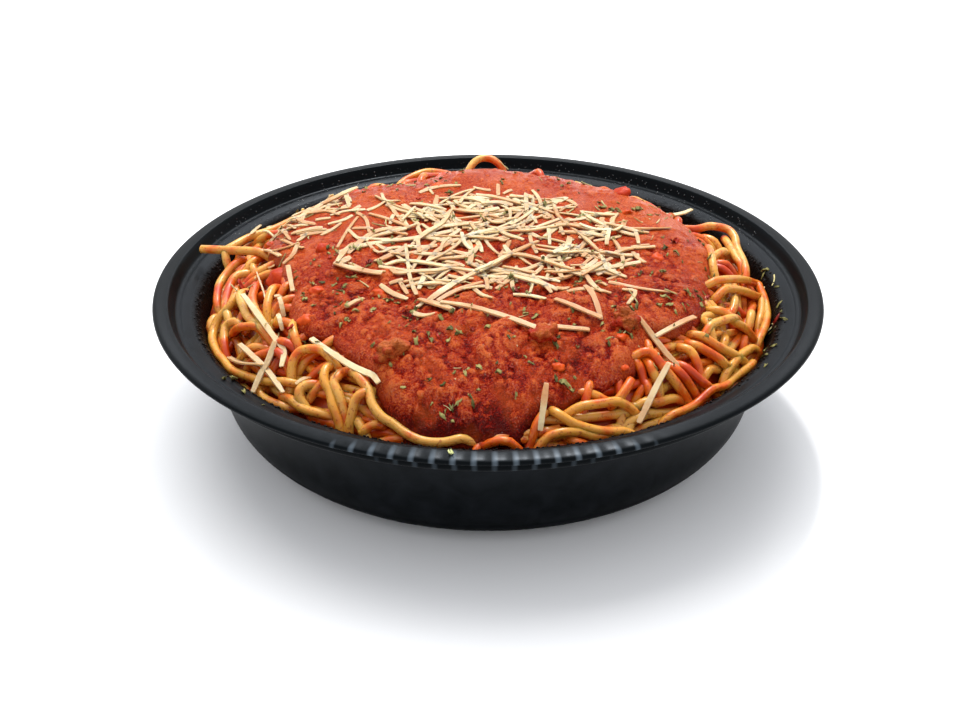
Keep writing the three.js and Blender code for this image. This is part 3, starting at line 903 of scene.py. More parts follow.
# Shreds that can be told apart in the pile, as (width, [(x, y), ...]), lowest first.
PILED_SHREDS = [
    (1.3, [(-56, 26), (-51, 28), (-44, 29)]), (1.2, [(-56, 17), (-51, 19), (-48, 23)]),
    (1.2, [(-51, -4), (-49, 7), (-46, 21)]), (1.4, [(-47, 27), (-43, 19), (-41, 7)]),
    (1.3, [(-48, 8), (-44, 2), (-41, 0)]), (1.2, [(-47, 11), (-44, 10), (-40, 10)]),
    (1.6, [(-41, 42), (-35, 35), (-26, 26)]), (1.4, [(-43, 28), (-40, 32), (-37, 37)]),
    (1.5, [(-36, 35), (-33, 26), (-30, 17)]), (1.3, [(-39, 45), (-37, 37), (-32, 38)]),
    (1.6, [(-54, 57), (-52, 47), (-50, 39)]), (1.9, [(-28, 35), (-22, 32), (-15, 29)]),
    (1.3, [(-30, 18), (-28, 24), (-26, 30)]), (1.2, [(-22, 20), (-18, 22), (-13, 26)]),
    (2, [(-42, 24), (-35, 19), (-27, 12)]), (1.8, [(-47, -10), (-43, 0), (-38, 8), (-30, 11)]),
    (1.2, [(-41, -2), (-37, -8), (-33, -6)]), (1.3, [(-28, -3), (-27, -12), (-26, -23)]),
    (1.2, [(-44, 1), (-36, 2), (-31, 3)]), (1.4, [(-26, -1), (-22, 6), (-15, 12)]),
    (1.7, [(-25, 46), (-19, 51), (-10, 54)]), (1.5, [(-17, 34), (-11, 43), (-5, 51)]),
    (1.3, [(-5, 50), (-8, 41), (-10, 33)]), (1.3, [(-5, 51), (-2, 50), (1, 49)]), (1.6, [(4, 53), (4, 44)]),
    (1.3, [(6, 45), (9, 48)]), (1.8, [(-4, 39), (2, 39), (8, 36), (12, 33)]),
    (1.6, [(-2, 32), (4, 34), (9, 33)]), (1.7, [(14, 42), (14, 25)]), (1.5, [(16, 26), (12, 20), (8, 14)]),
    (1.3, [(8, 28), (8, 21)]), (1.4, [(12, 34), (18, 30), (24, 24)]), (1.4, [(19, 23), (21, 19), (23, 23)]),
    (1.5, [(-1, 20), (2, 15), (6, 16)]), (1.4, [(0, 9), (5, 9), (9, 11)]),
    (1.6, [(-15, 11), (-9, 12), (-3, 12)]), (1.5, [(-6, 12), (-4, 7), (-2, 3)]),
    (1.6, [(1, 31), (-1, 21), (-3, 14)]), (2, [(-13, 29), (-7, 26), (-1, 25), (4, 27)]),
    (2, [(-13, 28), (-16, 14), (-21, 7), (-25, 1)]), (1.9, [(24, 32), (25, 21), (28, 12)]),
    (1.4, [(21, 12), (21, -2)]), (1.4, [(25, 11), (26, 4)]), (1.5, [(17, 11), (22, 15), (26, 18)]),
    (1.9, [(7, 6), (15, 7), (22, 10), (28, 12), (36, 9)]), (1.6, [(29, 9), (33, 1), (38, -6)]),
    (1.2, [(32, 11), (37, 9), (43, 9)]), (1.8, [(3, 11), (6, 3), (12, -1)]),
    (1.7, [(-18, 4), (-9, 2), (-2, 1), (4, 0)]), (1.5, [(-9, 4), (-8, -3), (-6, -8)]),
    (1.7, [(-3, -4), (-6, -12), (-12, -10)]), (1.6, [(-24, 2), (-23, -10)]),
    (1.9, [(-20, -14), (-16, -7), (-10, 0)]), (1.4, [(-16, -9), (-15, -3), (-12, 4)]),
    (1.4, [(4, -1), (7, -2)]), (1.7, [(16, -7), (24, -8), (32, -7), (37, -9)]), (1.3, [(38, -7), (44, -9)]),
    (1.5, [(29, -3), (22, -9)]), (1.8, [(31, -21), (36, -15)]), (1.6, [(38, -12), (39, -21)]),
    (1.6, [(22, -16), (24, -28)]), (1.7, [(19, -21), (24, -24), (30, -23)]), (1.4, [(14, -26), (18, -18)]),
    (1.8, [(5, -19), (10, -21), (15, -25)]), (1.6, [(-5, -26), (0, -27), (6, -28)]),
    (1.4, [(-17, -27), (-14, -23), (-12, -21)]), (1.5, [(-13, -26), (-9, -29), (-5, -31)]),
    (1.9, [(7, -27), (13, -32), (22, -36)]), (1.3, [(15, -27), (19, -30), (23, -31)]),
    (1.6, [(22, -35), (26, -32)]), (1.8, [(25, -35), (32, -36), (39, -38)]),
    (1.9, [(32, -25), (34, -34), (36, -40)]), (1.4, [(35, -29), (38, -33)]),
    (2.1, [(-19, -43), (-12, -35), (-5, -27), (1, -18)]),
    (2.1, [(-34, -17), (-29, -14), (-21, -16), (-12, -21), (-3, -26)]),
    (1.9, [(-32, -20), (-30, -23), (-24, -22), (-16, -22), (-10, -20)]),
    (2.2, [(-3, -26), (6, -13), (13, -5), (17, -1)]), (2.2, [(5, -11), (13, -12), (21, -17), (28, -23)]),
    (1.6, [(-4, -26), (0, -22), (1, -19)]), (2, [(-51, -17), (-48, -16), (-46, -14)]),
    (2.1, [(-46, -16), (-40, -21), (-34, -23)]), (1.3, [(-38, -15), (-35, -16)]),
    (1.9, [(-35, -29), (-31, -34), (-26, -39)]), (1.5, [(-29, -27), (-26, -36)]),
    (1.5, [(-26, -23), (-25, -29), (-23, -38)]), (1.3, [(-32, -28), (-28, -27)]),
    (2.1, [(-22, -41), (-16, -46), (-11, -51)]), (1.7, [(-24, -48), (-20, -52), (-17, -53)]),
    (1.3, [(-23, -46), (-20, -43)]), (1.8, [(-16, -44), (-10, -38), (-2, -33)]),
    (1.6, [(-5, -36), (-2, -41), (1, -44)]), (1.5, [(-8, -38), (-2, -35), (1, -35)]),
    (1.7, [(8, -40), (13, -40), (18, -43)]), (1.4, [(2, -31), (5, -33)]), (1.2, [(-19, -33), (-17, -32)]),
    (1.5, [(29, 37), (32, 30)]), (1.3, [(38, 23), (39, 26)]), (1.5, [(43, -36), (47, -37), (44, -45)]),
    (1.3, [(-12, 19), (-9, 15)]), (1.2, [(-22, 51), (-20, 44)]), (1.4, [(13, 17), (12, 10)]),
    (1.3, [(6, 23), (0, 21)])]
# Shreds that stand out beside the pile.
LAID_SHREDS = [
    (2, [(-81, -24), (-74, -38), (-68, -49), (-64, -56), (-64, -63)]),
    (2, [(-80, -43), (-75, -51), (-69, -60), (-63, -71)]),
    (2, [(-67, -53), (-69, -58), (-71, -61), (-73, -66)]),
    (1.9, [(-84, -42), (-79, -50), (-73, -56), (-71, -59)]), (1.6, [(-55, -66), (-59, -69)]),
    (2.1, [(-55, -57), (-49, -63), (-43, -69), (-38, -73), (-35, -75), (-33, -79)]),
    (0.6, [(-79, -5), (-75, -19), (-73, -28)]), (1.7, [(-67, -13), (-64, -27)]),
    (1.7, [(-70, -27), (-66, -26)]), (1.6, [(-68, -31), (-66, -37)]), (1.6, [(-68, -37), (-66, -43)]),
    (2, [(-78, 11), (-71, -3)]), (1.8, [(-78, 6), (-73, -6)]), (1.7, [(-72, 12), (-65, 0), (-63, -2)]),
    (1.7, [(-65, 2), (-66, -6), (-69, -9)]), (1.6, [(-74, 3), (-65, 1)]), (2, [(-74, -11), (-71, -8)]),
    (1.5, [(-70, 56), (-69, 50)]), (1.8, [(-59, 47), (-63, 32)]), (1.8, [(-76, 50), (-64, 57)]),
    (1.8, [(-86, 37), (-71, 51)]), (1.7, [(-70, 34), (-66, 23), (-61, 19)]), (1.7, [(-61, 23), (-56, 23)]),
    (1.7, [(-69, 15), (-58, 14)]), (1.5, [(-66, 7), (-63, 12)]), (1.8, [(-72, 42), (-62, 40), (-48, 47)]),
    (1.7, [(-64, 58), (-61, 50), (-57, 44)]), (1.8, [(-54, 68), (-51, 60)]),
    (1.7, [(-65, 31), (-58, 31), (-53, 25)]), (1.6, [(-53, 48), (-50, 34)]),
    (2, [(47, -51), (52, -56), (56, -60), (59, -62)]), (1.9, [(52, -55), (59, -49), (66, -41)]),
    (2.1, [(55, -67), (51, -73), (45, -83)]), (2, [(17, -81), (16, -87), (15, -92)]),
    (1.7, [(62, 66), (65, 60), (70, 58), (75, 60), (79, 65)]),
    (2.2, [(-15, -46), (-6, -49), (5, -54), (19, -61)]), (2, [(17, -57), (24, -57), (31, -57)]),
    (1.2, [(39, -31), (49, -34), (60, -34)]), (1.6, [(49, -6), (52, -16)]),
    (1.9, [(-51, -17), (-45, -20), (-35, -25)]), (1.9, [(-46, 0), (-48, -9), (-50, -17)]),
    (1.6, [(-40, -38), (-45, -45)]), (1.8, [(31, -34), (33, -41), (35, -53)]),
    (1.9, [(21, -44), (29, -50), (35, -53)]), (1.9, [(-22, -42), (-18, -46), (-11, -52)])]


SHRED_THICKNESS = 0.36       # thickness of a shred as a share of its width
SHRED_STEPS = np.arange(6) / 5 - 0.5        # places of a random shred's points, as shares of its length
PILE_TOP = RIM + 16.0        # no shred goes higher
SIDE_PATCH = (-67, 32)       # middle of the second, smaller patch of shreds


def shred_paths(rng, count, length):
    """Places for one shred: straight or gently bowed paths over the pile."""
    far = 50 * rng.uniform(0, 1, count)**0.75
    angle = rng.uniform(0, FULL_TURN, count)
    heading = rng.uniform(0, math.pi, count)
    bend = rng.normal(0, 0.014, count)
    steps = SHRED_STEPS * length
    turn = heading[:, None] + bend[:, None] * steps[None, :]
    x = 4 + far * np.cos(angle)
    y = 2 + 0.8 * far * np.sin(angle)
    return np.stack([x[:, None] + steps * np.cos(turn), y[:, None] + steps * np.sin(turn)], axis=2)


def stiff_on(ground, flat, lift, across):
    """Heights of a stiff, slightly bowed bar that lies along flat on a height map."""
    under = highest_below(ground, flat, across, (-1, 0, 1))
    place = np.linspace(-1, 1, len(flat))
    fitted = np.polyfit(place, under, 2)
    fitted[0] = np.clip(fitted[0], -1.3, 0.5)
    bowed = np.polyval(fitted, place)
    return bowed + np.quantile(under - bowed, 0.8) + lift


def grated_cheese(ground, sauce, tree):
    """Shreds laid one after another, each on what lies below it; the lowest take on the sauce's colour."""
    rng = np.random.default_rng(12)
    bars = []

    def lay(flat, width, soaked=0.0):
        """Lays one shred along flat."""
        z = np.minimum(stiff_on(ground, flat, width * 0.15, width * 0.5), PILE_TOP)
        path = np.column_stack([flat, z])
        ends = np.linspace(-1, 1, len(path))
        taper = 1 - 0.35 * np.abs(ends)**4 * rng.uniform(0.2, 1)
        taper *= 1 + 0.12 * noise(path, 2.1, 9)
        lean = rng.normal(0, 0.15) + ends * rng.normal(0, 0.15)
        rise = np.clip((z - sample(sauce, *flat.T) - 0.3 * width) / 2.6, 0, 1)
        soak = 0.66 - 0.75 * rise + rng.uniform(-0.3, 0.3) + soaked
        bars.append(bar(path, width * taper, lean=lean, soak=soak, tone=rng.uniform(0, 1)))
        raise_along(ground, path, width / 2, 0.30)

    for _ in range(215):
        length = np.clip(rng.lognormal(2.4, 0.42), 4, 27)
        paths = shred_paths(rng, 2, length)
        height = sample(ground, paths[..., 0], paths[..., 1]) - heap(paths[..., 0], paths[..., 1])
        lay(paths[np.argmin(height.mean(axis=1))], rng.uniform(1.0, 1.9))
    for _ in range(34):
        centre = np.array(SIDE_PATCH) + rng.normal(0, 1, 2) * (8, 11)
        turn = rng.uniform(0, math.pi)
        steps = SHRED_STEPS * rng.uniform(4, 12)
        flat = centre + np.stack([steps * math.cos(turn), steps * math.sin(turn)], axis=1)
        lay(flat, rng.uniform(1.1, 1.6), 0.2)
    for width, marks in PILED_SHREDS:
        lay(curve_through(marks, 1.5), 0.9 * width)
    for width, marks in LAID_SHREDS:
        lay(curve_through(marks, 1.5), 0.92 * width, 0.3)
    points, edges, values = joined(bars)
    sizes = {"Width": MM, "Thickness": SHRED_THICKNESS * MM}
    made = grown("cheese_shreds", points, tree, sizes, edges, **values)
    stain = read(made, "soak") + 0.4 * noise(points_of(made), 5, 3)
    paint(made.data, stain=np.clip(stain, 0, 1))
    return made


# ---------- sprinkles ----------

# Places where the herb flakes lie close together.
HERB_CLUSTERS = [
    (-31, -3), (-24, -50), (-29, -40), (-42, -44), (-45, -23), (28, -27), (35, -10), (32, 21), (21, 30),
    (6, -33), (11, -38), (12, -48), (26, -38), (28, -51), (37, -52), (45, -46), (48, -23), (44, -17),
    (44, 32), (55, 35), (39, 6), (5, 56), (-10, 16), (-3, 20), (-51, -6), (-44, -6), (-37, -12), (-6, -11),
    (-14, 47), (-23, 36), (44, -56), (67, -33), (57, -39), (63, -32), (55, -23), (62, -4), (7, -65),
    (21, -63), (25, -79), (70, -42), (-59, -33), (-47, -33), (-50, -35), (-33, -35), (-12, -62), (-45, -49),
    (-62, -49), (-5, -76), (-28, -69), (-11, -88), (-19, -65)]
# The lid ledge and the flange seen from above, as (radius, depth below the rim).
LEDGE = (
    (96.5, 12.0), (98.7, 7.0), (99.1, 6.4), (99.9, 5.6), (101.2, 5.1), (104.8, 4.0), (106.8, 4.1),
    (107.4, 3.3), (108.8, 0.2), (113.0, 0.3))
LEDGE_FROM = 95.5            # radius beyond which things can lie on the ledge
LEAF_LONG, LEAF_WIDE = 5, 3  # points along and across a leaf flake
LEAF_THICKNESS = 0.14
SLOPE_STEP = 0.7             # how far to each side the slope under a flake is looked up


def ledge_height(radius):
    """Height of the bowl's lid ledge and flange."""
    radii, depths = zip(*LEDGE)
    return RIM - np.interp(radius, radii, depths)


def leaf_flake(rng, length, width):
    """A thin, ragged and curled fragment of a dried leaf."""
    count = LEAF_LONG * LEAF_WIDE
    u, v = np.meshgrid(np.linspace(-1, 1, LEAF_LONG), np.linspace(-1, 1, LEAF_WIDE), indexing="ij")
    u, v = u.ravel(), v.ravel()
    ragged = 1 + rng.uniform(-0.45, 0.45, count)
    x = u * length / 2 + rng.normal(0, 0.10, count) * length + rng.uniform(-0.4, 0.4) * width * v
    y = v * width / 2 * ragged * (1 - rng.uniform(0.0, 0.5) * u * u)
    curl = rng.uniform(0.3, 1.3)
    wave = 0.12 * length * np.sin(u * 2.5 + rng.uniform(0, 6))
    z = curl * width * v * v * 0.6 + wave + rng.normal(0, 0.05, count)
    top = np.stack([x, y, z + LEAF_THICKNESS / 2], axis=1)
    points = np.vstack([top, top - (0, 0, LEAF_THICKNESS)])
    index = np.arange(count).reshape(LEAF_LONG, LEAF_WIDE)
    faces = []
    cells = np.stack([index[:-1, :-1], index[1:, :-1], index[1:, 1:], index[:-1, 1:]], axis=2)
    for a, b, c, d in cells.reshape(-1, 4).tolist():
        faces += [(a, b, c, d), (a + count, d + count, c + count, b + count)]
    rim = np.concatenate([index[:, 0], index[-1, 1:], index[-2::-1, -1], index[0, -2:0:-1]]).tolist()
    faces += [(here, here + count, there + count, there) for here, there in zip(rim, rim[1:] + rim[:1])]
    return points, faces


def settled(points, x, y, ground, lift):
    """A small shape moved to x, y and tilted with what it lies on there."""
    radius = math.hypot(x, y)
    e = SLOPE_STEP
    if radius < LEDGE[0][0]:
        slope = [float(sample(ground, x + e, y) - sample(ground, x - e, y)) / (2 * e),
                 float(sample(ground, x, y + e) - sample(ground, x, y - e)) / (2 * e)]
        base = float(sample(ground, x, y))
    else:
        steep = float(ledge_height(radius + e) - ledge_height(radius - e)) / (2 * e)
        slope = [steep * x / radius, steep * y / radius]
        base = float(ledge_height(radius))
    slope = np.clip(slope, -1.2, 1.2)
    rise = points[:, 0] * slope[0] + points[:, 1] * slope[1]
    return points + np.outer(rise, (0, 0, 1)) + (x, y, base + lift)


def speck(rng, length, width):
    """A small rough crumb."""
    return lump(rng, length / 2, 1, 0.5, width / length)


def herb_stalks(spots, ground, tree):
    """Thin bent pieces of stalk that lie on the food: spots are (x, y, length, width)."""
    rng = np.random.default_rng(52)
    bars = []
    for x, y, length, width in spots:
        s = np.linspace(-0.5, 0.5, 5) * length
        path = np.stack([s, rng.normal(0, 0.08) * s * s, 0.2 + 0.02 * s * s], axis=1)
        path = settled(turned_about(path, rng, 0.3), x, y, ground, 0.05)
        bars.append(bar(path, width / 2 * np.linspace(1, 0.6, 5), tone=rng.uniform(0, 1)))
    points, edges, values = joined(bars)
    return grown("herb_stalks", points, tree, {"Radius": MM, "Sides": 5}, edges, **values)


def sprinkled(name, shape, spots, ground, material, seed, lift=0.1):
    """Small shapes put down on a height map: spots are (x, y, length, width)."""
    rng = np.random.default_rng(seed)
    parts = []
    for x, y, length, width in spots:
        points, faces = shape(rng, length, width)
        points = settled(turned_about(points, rng, 0.45), x, y, ground, lift)
        parts.append((points, faces, {"tone": rng.uniform(0, 1)}))
    points, faces, values = joined(parts)
    return mesh_piece(name, points, faces, material, **values)


def scattered_spots(rng, count, within, lengths, slim):
    """Random places over the food with a length and a width each."""
    spots = []
    while len(spots) < count:
        x, y = rng.uniform(-within, within, 2)
        if math.hypot(x, y) < within and from_gap(x, y) > GAP[2]:
            length = rng.uniform(*lengths)
            spots.append((x, y, length, length * rng.uniform(*slim)))
    return spots


def ledge_spots(rng, marks, lengths, slim):
    """Places along the ledge and rim: marks are (direction in degrees, radius)."""
    spots = []
    for degrees, radius in marks:
        length = rng.uniform(*lengths)
        angle = math.radians(degrees)
        x, y = radius * math.cos(angle), radius * math.sin(angle)
        spots.append((x, y, length, length * rng.uniform(*slim)))
    return spots


# ---------- bowl ----------

# Corners of the lid ledge, the flange and its rolled lip as (radius, depth below the rim), from the underside
# outwards, round the lip, and back over the top to the inside of the wall.
RIM_SECTION = [
    (101.4, 6.25), (107.2, 5.4), (107.9, 6.9), (108.8, 7.25), (109.5, 6.6), (109.6, 1.5), (112.9, 1.5),
    (113.5, 2.1), (114.3, 1.7), (114.2, 0.9), (113.4, 0.4), (109.4, 0), (108.8, 0.2), (107.4, 3.3),
    (106.8, 4.1), (105.4, 4.2), (104.8, 4.0), (101.2, 5.1), (99.9, 5.6), (99.1, 6.4)]
WALL = 0.9                   # thickness of the wall
TURNING = 20.0               # radius at which the profile is turned
BASE_RADII = (0, 35, 66)     # where the flat base has points
# Control points of the two curves of the outside, from the base up, as (radius, height).
FOOT_CURVE = [(70, 0), (84, 0), (92.6, 8.5), (93.2, 18.4)]
SIDE_CURVE = [(93.2, 18.4), (94.3, 31), (99.6, 43)]


def bezier(marks, count=18):
    """Points of a Bezier curve."""
    marks = np.asarray(marks, float)
    degree = len(marks) - 1
    t = np.linspace(0, 1, count)[:, None]
    return sum(math.comb(degree, k) * (1 - t)**(degree - k) * t**k * marks[k] for k in range(degree + 1))


def corners_cut(line):
    """An open line with each of its corners cut off."""
    cut = np.empty((2 * len(line) - 2, 2))
    cut[0::2] = 0.75 * line[:-1] + 0.25 * line[1:]
    cut[1::2] = 0.25 * line[:-1] + 0.75 * line[1:]
    return np.vstack([line[:1], cut, line[-1:]])


def bowl_section():
    """Closed profile of the bowl from the middle of its underside, and which of its points are inside."""
    outside = np.vstack([bezier(FOOT_CURVE), bezier(SIDE_CURVE)[1:]])
    along = np.gradient(outside, axis=0)
    along /= np.linalg.norm(along, axis=1)[:, None]
    inside = outside + WALL * np.stack([-along[:, 1], along[:, 0]], axis=1)
    rim = corners_cut(corners_cut(np.array([(r, RIM - depth) for r, depth in RIM_SECTION])))
    base = [(r, 0) for r in BASE_RADII]
    floor_inside = [(r, WALL) for r in BASE_RADII[::-1]]
    section = np.vstack([base, outside, rim, inside[::-1], floor_inside])
    crest = len(base) + len(outside) + int(np.argmax(rim[:, 0]))
    inner = (np.arange(len(section)) > crest).astype(float)
    return section, inner


def takeaway_bowl(tree):
    """The bowl as its turned profile."""
    section, inner = bowl_section()
    line = np.column_stack([section[:, 0] - TURNING, -section[:, 1], np.zeros(len(section))])
    edges = [(k, k + 1) for k in range(len(line) - 1)]
    sizes = {"Sides": 216, "Turning radius": TURNING * MM}
    return grown("takeaway_bowl", line, tree, sizes, edges, inner=inner)


def water_beads(tree):
    """Fine beads of steam water on the ledge and the step above it, most of them at the back."""
    section, inner = bowl_section()
    radius, height = section.T
    strip = section[(inner > 0.5) & (radius > 100.2) & (radius < 108.4) & (height > 44.5)]
    turns = np.radians(np.arange(20, 161, 4))
    points = np.stack([strip[:, 0, None] * np.cos(turns), strip[:, 0, None] * np.sin(turns),
                       np.repeat(strip[:, 1, None], len(turns), axis=1)], axis=2).reshape(-1, 3)
    wide = len(turns)
    faces = [(k * wide + i, k * wide + i + 1, (k + 1) * wide + i + 1, (k + 1) * wide + i)
             for k in range(len(strip) - 1) for i in range(wide - 1)]
    sizes = {"Density": 2.0e5, "Smallest": 0.12 * MM, "Largest": 0.42 * MM, "Seed": 5}
    return grown("water_beads", points, tree, sizes, faces=faces)


# ---------- materials ----------

def new_material(name):
    """An empty material and its tree."""
    made = bpy.data.materials.new(name)
    made.use_nodes = True
    made.node_tree.nodes.clear()
    return made, made.node_tree


def finished(tree, surface):
    """Ends a material with a shader that has these values."""
    shader = node(tree, "ShaderNodeBsdfPrincipled", surface)
    node(tree, "ShaderNodeOutputMaterial", {"Surface": shader.outputs[0]})


def black_polypropylene():
    """Moulded polypropylene: even satin black outside but for painted highlight bars at the front of the
    flange, glossier inside with smears and dried spatter.
    """
    made, tree = new_material("black_polypropylene")
    place = node(tree, "ShaderNodeTexCoord").outputs["Object"]
    flat = node(tree, "ShaderNodeVectorMath", {0: place, 1: (1, 1, 0)}, operation="MULTIPLY").outputs[0]
    radius = node(tree, "ShaderNodeVectorMath", {0: flat}, operation="LENGTH").outputs["Value"]
    split = node(tree, "ShaderNodeSeparateXYZ", {0: place}).outputs
    x, y, z = split["X"], split["Y"], split["Z"]
    inner = node(tree, "ShaderNodeAttribute", attribute_name="inner").outputs["Fac"]

    # fine radial ripple of the flange, 120 round the rim, that breaks a highlight into soft bars; its crests
    # also carry painted highlight bars further down
    turn = node(tree, "ShaderNodeMath", {0: y, 1: x}, operation="ARCTAN2").outputs[0]
    wave = node(tree, "ShaderNodeMath", {0: turn, 1: 120.0}, operation="MULTIPLY").outputs[0]
    ripple = node(tree, "ShaderNodeMath", {0: wave}, operation="SINE").outputs[0]
    flange = node(tree, "ShaderNodeMapRange", {0: radius, 1: 108.0 * MM, 2: 109.2 * MM}).outputs[0]
    nearest = node(tree, "ShaderNodeMapRange", {0: y, 1: -99 * MM, 2: -107 * MM}).outputs[0]
    for share in (flange, nearest):
        ripple = node(tree, "ShaderNodeMath", {0: ripple, 1: share}, operation="MULTIPLY").outputs[0]

    # spatter on the wall above the food: bristly, about 1 mm, along the slope
    across = node(tree, "ShaderNodeMath", {0: turn, 1: 98 * MM}, operation="MULTIPLY").outputs[0]
    unrolled = node(tree, "ShaderNodeCombineXYZ", {0: across, 1: z, 2: radius}).outputs[0]
    bristle = node(tree, "ShaderNodeTexNoise", {
        "Vector": unrolled, "Scale": scale_of(1.111), "Detail": 2.0}).outputs["Fac"]
    below = node(tree, "ShaderNodeMapRange", {0: radius, 1: 102.0 * MM, 2: 99.8 * MM}).outputs[0]
    grit = node(tree, "ShaderNodeMath", {0: below, 1: inner}, operation="MULTIPLY").outputs[0]
    bristle = node(tree, "ShaderNodeMath", {0: bristle, 1: grit}, operation="MULTIPLY").outputs[0]
    smear = node(tree, "ShaderNodeTexNoise", {
        "Vector": unrolled, "Scale": scale_of(7.69), "Detail": 5.0, "Distortion": 0.8}).outputs["Fac"]
    spread = node(tree, "ShaderNodeMapRange", {0: radius, 1: 107.8 * MM, 2: 106.0 * MM}).outputs[0]
    smear = node(tree, "ShaderNodeMath", {0: smear, 1: spread}, operation="MULTIPLY").outputs[0]

    # the mould's grain is too fine to show, so it is drawn at about 0.4 mm
    grain = node(tree, "ShaderNodeTexNoise", {"Vector": place, "Scale": scale_of(0.3846)}).outputs["Fac"]
    shine_inside = node(tree, "ShaderNodeMapRange", {0: smear, 1: 0.35, 2: 0.7, 3: 0.28, 4: 0.42}).outputs[0]
    shine_outside = node(tree, "ShaderNodeMapRange", {0: grain, 3: 0.30, 4: 0.42}).outputs[0]
    shine = node(tree, "ShaderNodeMix", {0: inner, 2: shine_outside, 3: shine_inside}).outputs[0]
    shade = node(tree, "ShaderNodeValToRGB", {0: smear}, [
        (0.3, colour("060809")), (0.75, colour("121417"))]).outputs[0]
    shade = node(tree, "ShaderNodeMix", {0: grit, 6: shade, 7: colour("0D0806")}, data_type="RGBA").outputs[2]
    relief = node(tree, "ShaderNodeBump", {
        "Height": ripple, "Strength": 0.7, "Distance": 0.1 * MM}).outputs[0]
    for height, strength, depth in ((bristle, 0.9, 0.9), (grain, 0.08, 0.1)):
        relief = node(tree, "ShaderNodeBump", {
            "Height": height, "Strength": strength, "Distance": depth * MM, "Normal": relief}).outputs[0]

    # the wall mirrors less light towards the table, the flat top of the flange the most
    mirror = node(tree, "ShaderNodeMapRange", {0: z, 1: 10 * MM, 2: 40 * MM, 3: 0.002, 4: 0.13}).outputs[0]
    lip = node(tree, "ShaderNodeMapRange", {0: z, 1: 42.5 * MM, 2: 44.0 * MM, 3: 1.0, 4: 0.2}).outputs[0]
    mirror = node(tree, "ShaderNodeMath", {0: mirror, 1: lip}, operation="MULTIPLY").outputs[0]
    top = node(tree, "ShaderNodeMapRange", {0: z, 1: 47.0 * MM, 2: 48.5 * MM}).outputs[0]
    top = node(tree, "ShaderNodeMath", {0: top, 1: flange}, operation="MULTIPLY").outputs[0]
    front = node(tree, "ShaderNodeMapRange", {0: y, 1: -40 * MM, 2: -95 * MM}).outputs[0]
    gloss = node(tree, "ShaderNodeMapRange", {0: front, 3: 0.065, 4: 0.055}).outputs[0]
    for share, level in ((inner, 0.06), (grit, 0.012), (top, gloss)):
        mirror = node(tree, "ShaderNodeMix", {0: share, 2: mirror, 3: level}).outputs[0]
    # painted highlight: paler bars painted into the colour on the ripple's crests, at the front and towards
    # the lip, where the lamps' highlight falls
    bars = node(tree, "ShaderNodeMapRange", {0: ripple, 1: 0.40, 2: 1.0}).outputs[0]
    outward = node(tree, "ShaderNodeMapRange", {0: radius, 1: 108.5 * MM, 2: 112.5 * MM, 3: 0.15}).outputs[0]
    bars = node(tree, "ShaderNodeMath", {0: bars, 1: outward}, operation="MULTIPLY").outputs[0]
    shade = node(tree, "ShaderNodeMix", {0: bars, 6: shade, 7: colour("454D54")}, data_type="RGBA").outputs[2]
    finished(tree, {
        "Base Color": shade, "Roughness": shine, "Normal": relief, "IOR": 1.49, "Specular IOR Level": mirror,
        "Specular Tint": colour("DDEBFA")})
    return made


def cooked_pasta():
    """Boiled durum pasta: wet, yellow, a little translucent, with orange oil, red sauce and specks on it; the
    stain that spreads oil and sauce is partly painted shade deep in the heap.
    """
    made, tree = new_material("cooked_pasta")
    place = node(tree, "ShaderNodeTexCoord").outputs["Object"]
    stain = node(tree, "ShaderNodeAttribute", attribute_name="stain").outputs["Fac"]
    tone = node(tree, "ShaderNodeAttribute", attribute_name="tone").outputs["Fac"]
    # sauce clings in patches of about 7 mm and in specks of about 1 mm
    patches = node(tree, "ShaderNodeTexNoise", {
        "Vector": place, "Scale": scale_of(6.667), "Detail": 5.0}).outputs["Fac"]
    specks = node(tree, "ShaderNodeTexNoise", {
        "Vector": place, "Scale": scale_of(1.111), "Detail": 3.0}).outputs["Fac"]
    cover = node(tree, "ShaderNodeMath", {0: patches, 1: 2.1, 2: stain}, operation="MULTIPLY_ADD").outputs[0]
    oil = node(tree, "ShaderNodeMapRange", {0: cover, 1: 1.10, 2: 1.46}).outputs[0]
    red = node(tree, "ShaderNodeMapRange", {0: cover, 1: 1.62, 2: 1.84}).outputs[0]
    dots = node(tree, "ShaderNodeMapRange", {0: specks, 1: 0.60, 2: 0.65, 4: 0.6}).outputs[0]
    shade = node(tree, "ShaderNodeValToRGB", {0: tone}, [
        (0.0, colour("C88A30")), (1.0, colour("CC9A4A"))]).outputs[0]
    for share, clinging in ((oil, "C4580C"), (dots, "8C2E0A"), (red, "B03806")):
        shade = node(tree, "ShaderNodeMix", {
            0: share, 6: shade, 7: colour(clinging)}, data_type="RGBA").outputs[2]
    shine = node(tree, "ShaderNodeMapRange", {0: patches, 1: 0.3, 2: 0.7, 3: 0.22, 4: 0.40}).outputs[0]
    relief = node(tree, "ShaderNodeBump", {
        "Height": specks, "Strength": 0.2, "Distance": 0.3 * MM}).outputs[0]
    finished(tree, {
        "Base Color": shade, "Roughness": shine, "Normal": relief, "IOR": 1.40, "Specular IOR Level": 0.45,
        "Subsurface Weight": 0.7, "Subsurface Radius": (2.0, 1.4, 0.9), "Subsurface Scale": MM})
    return made


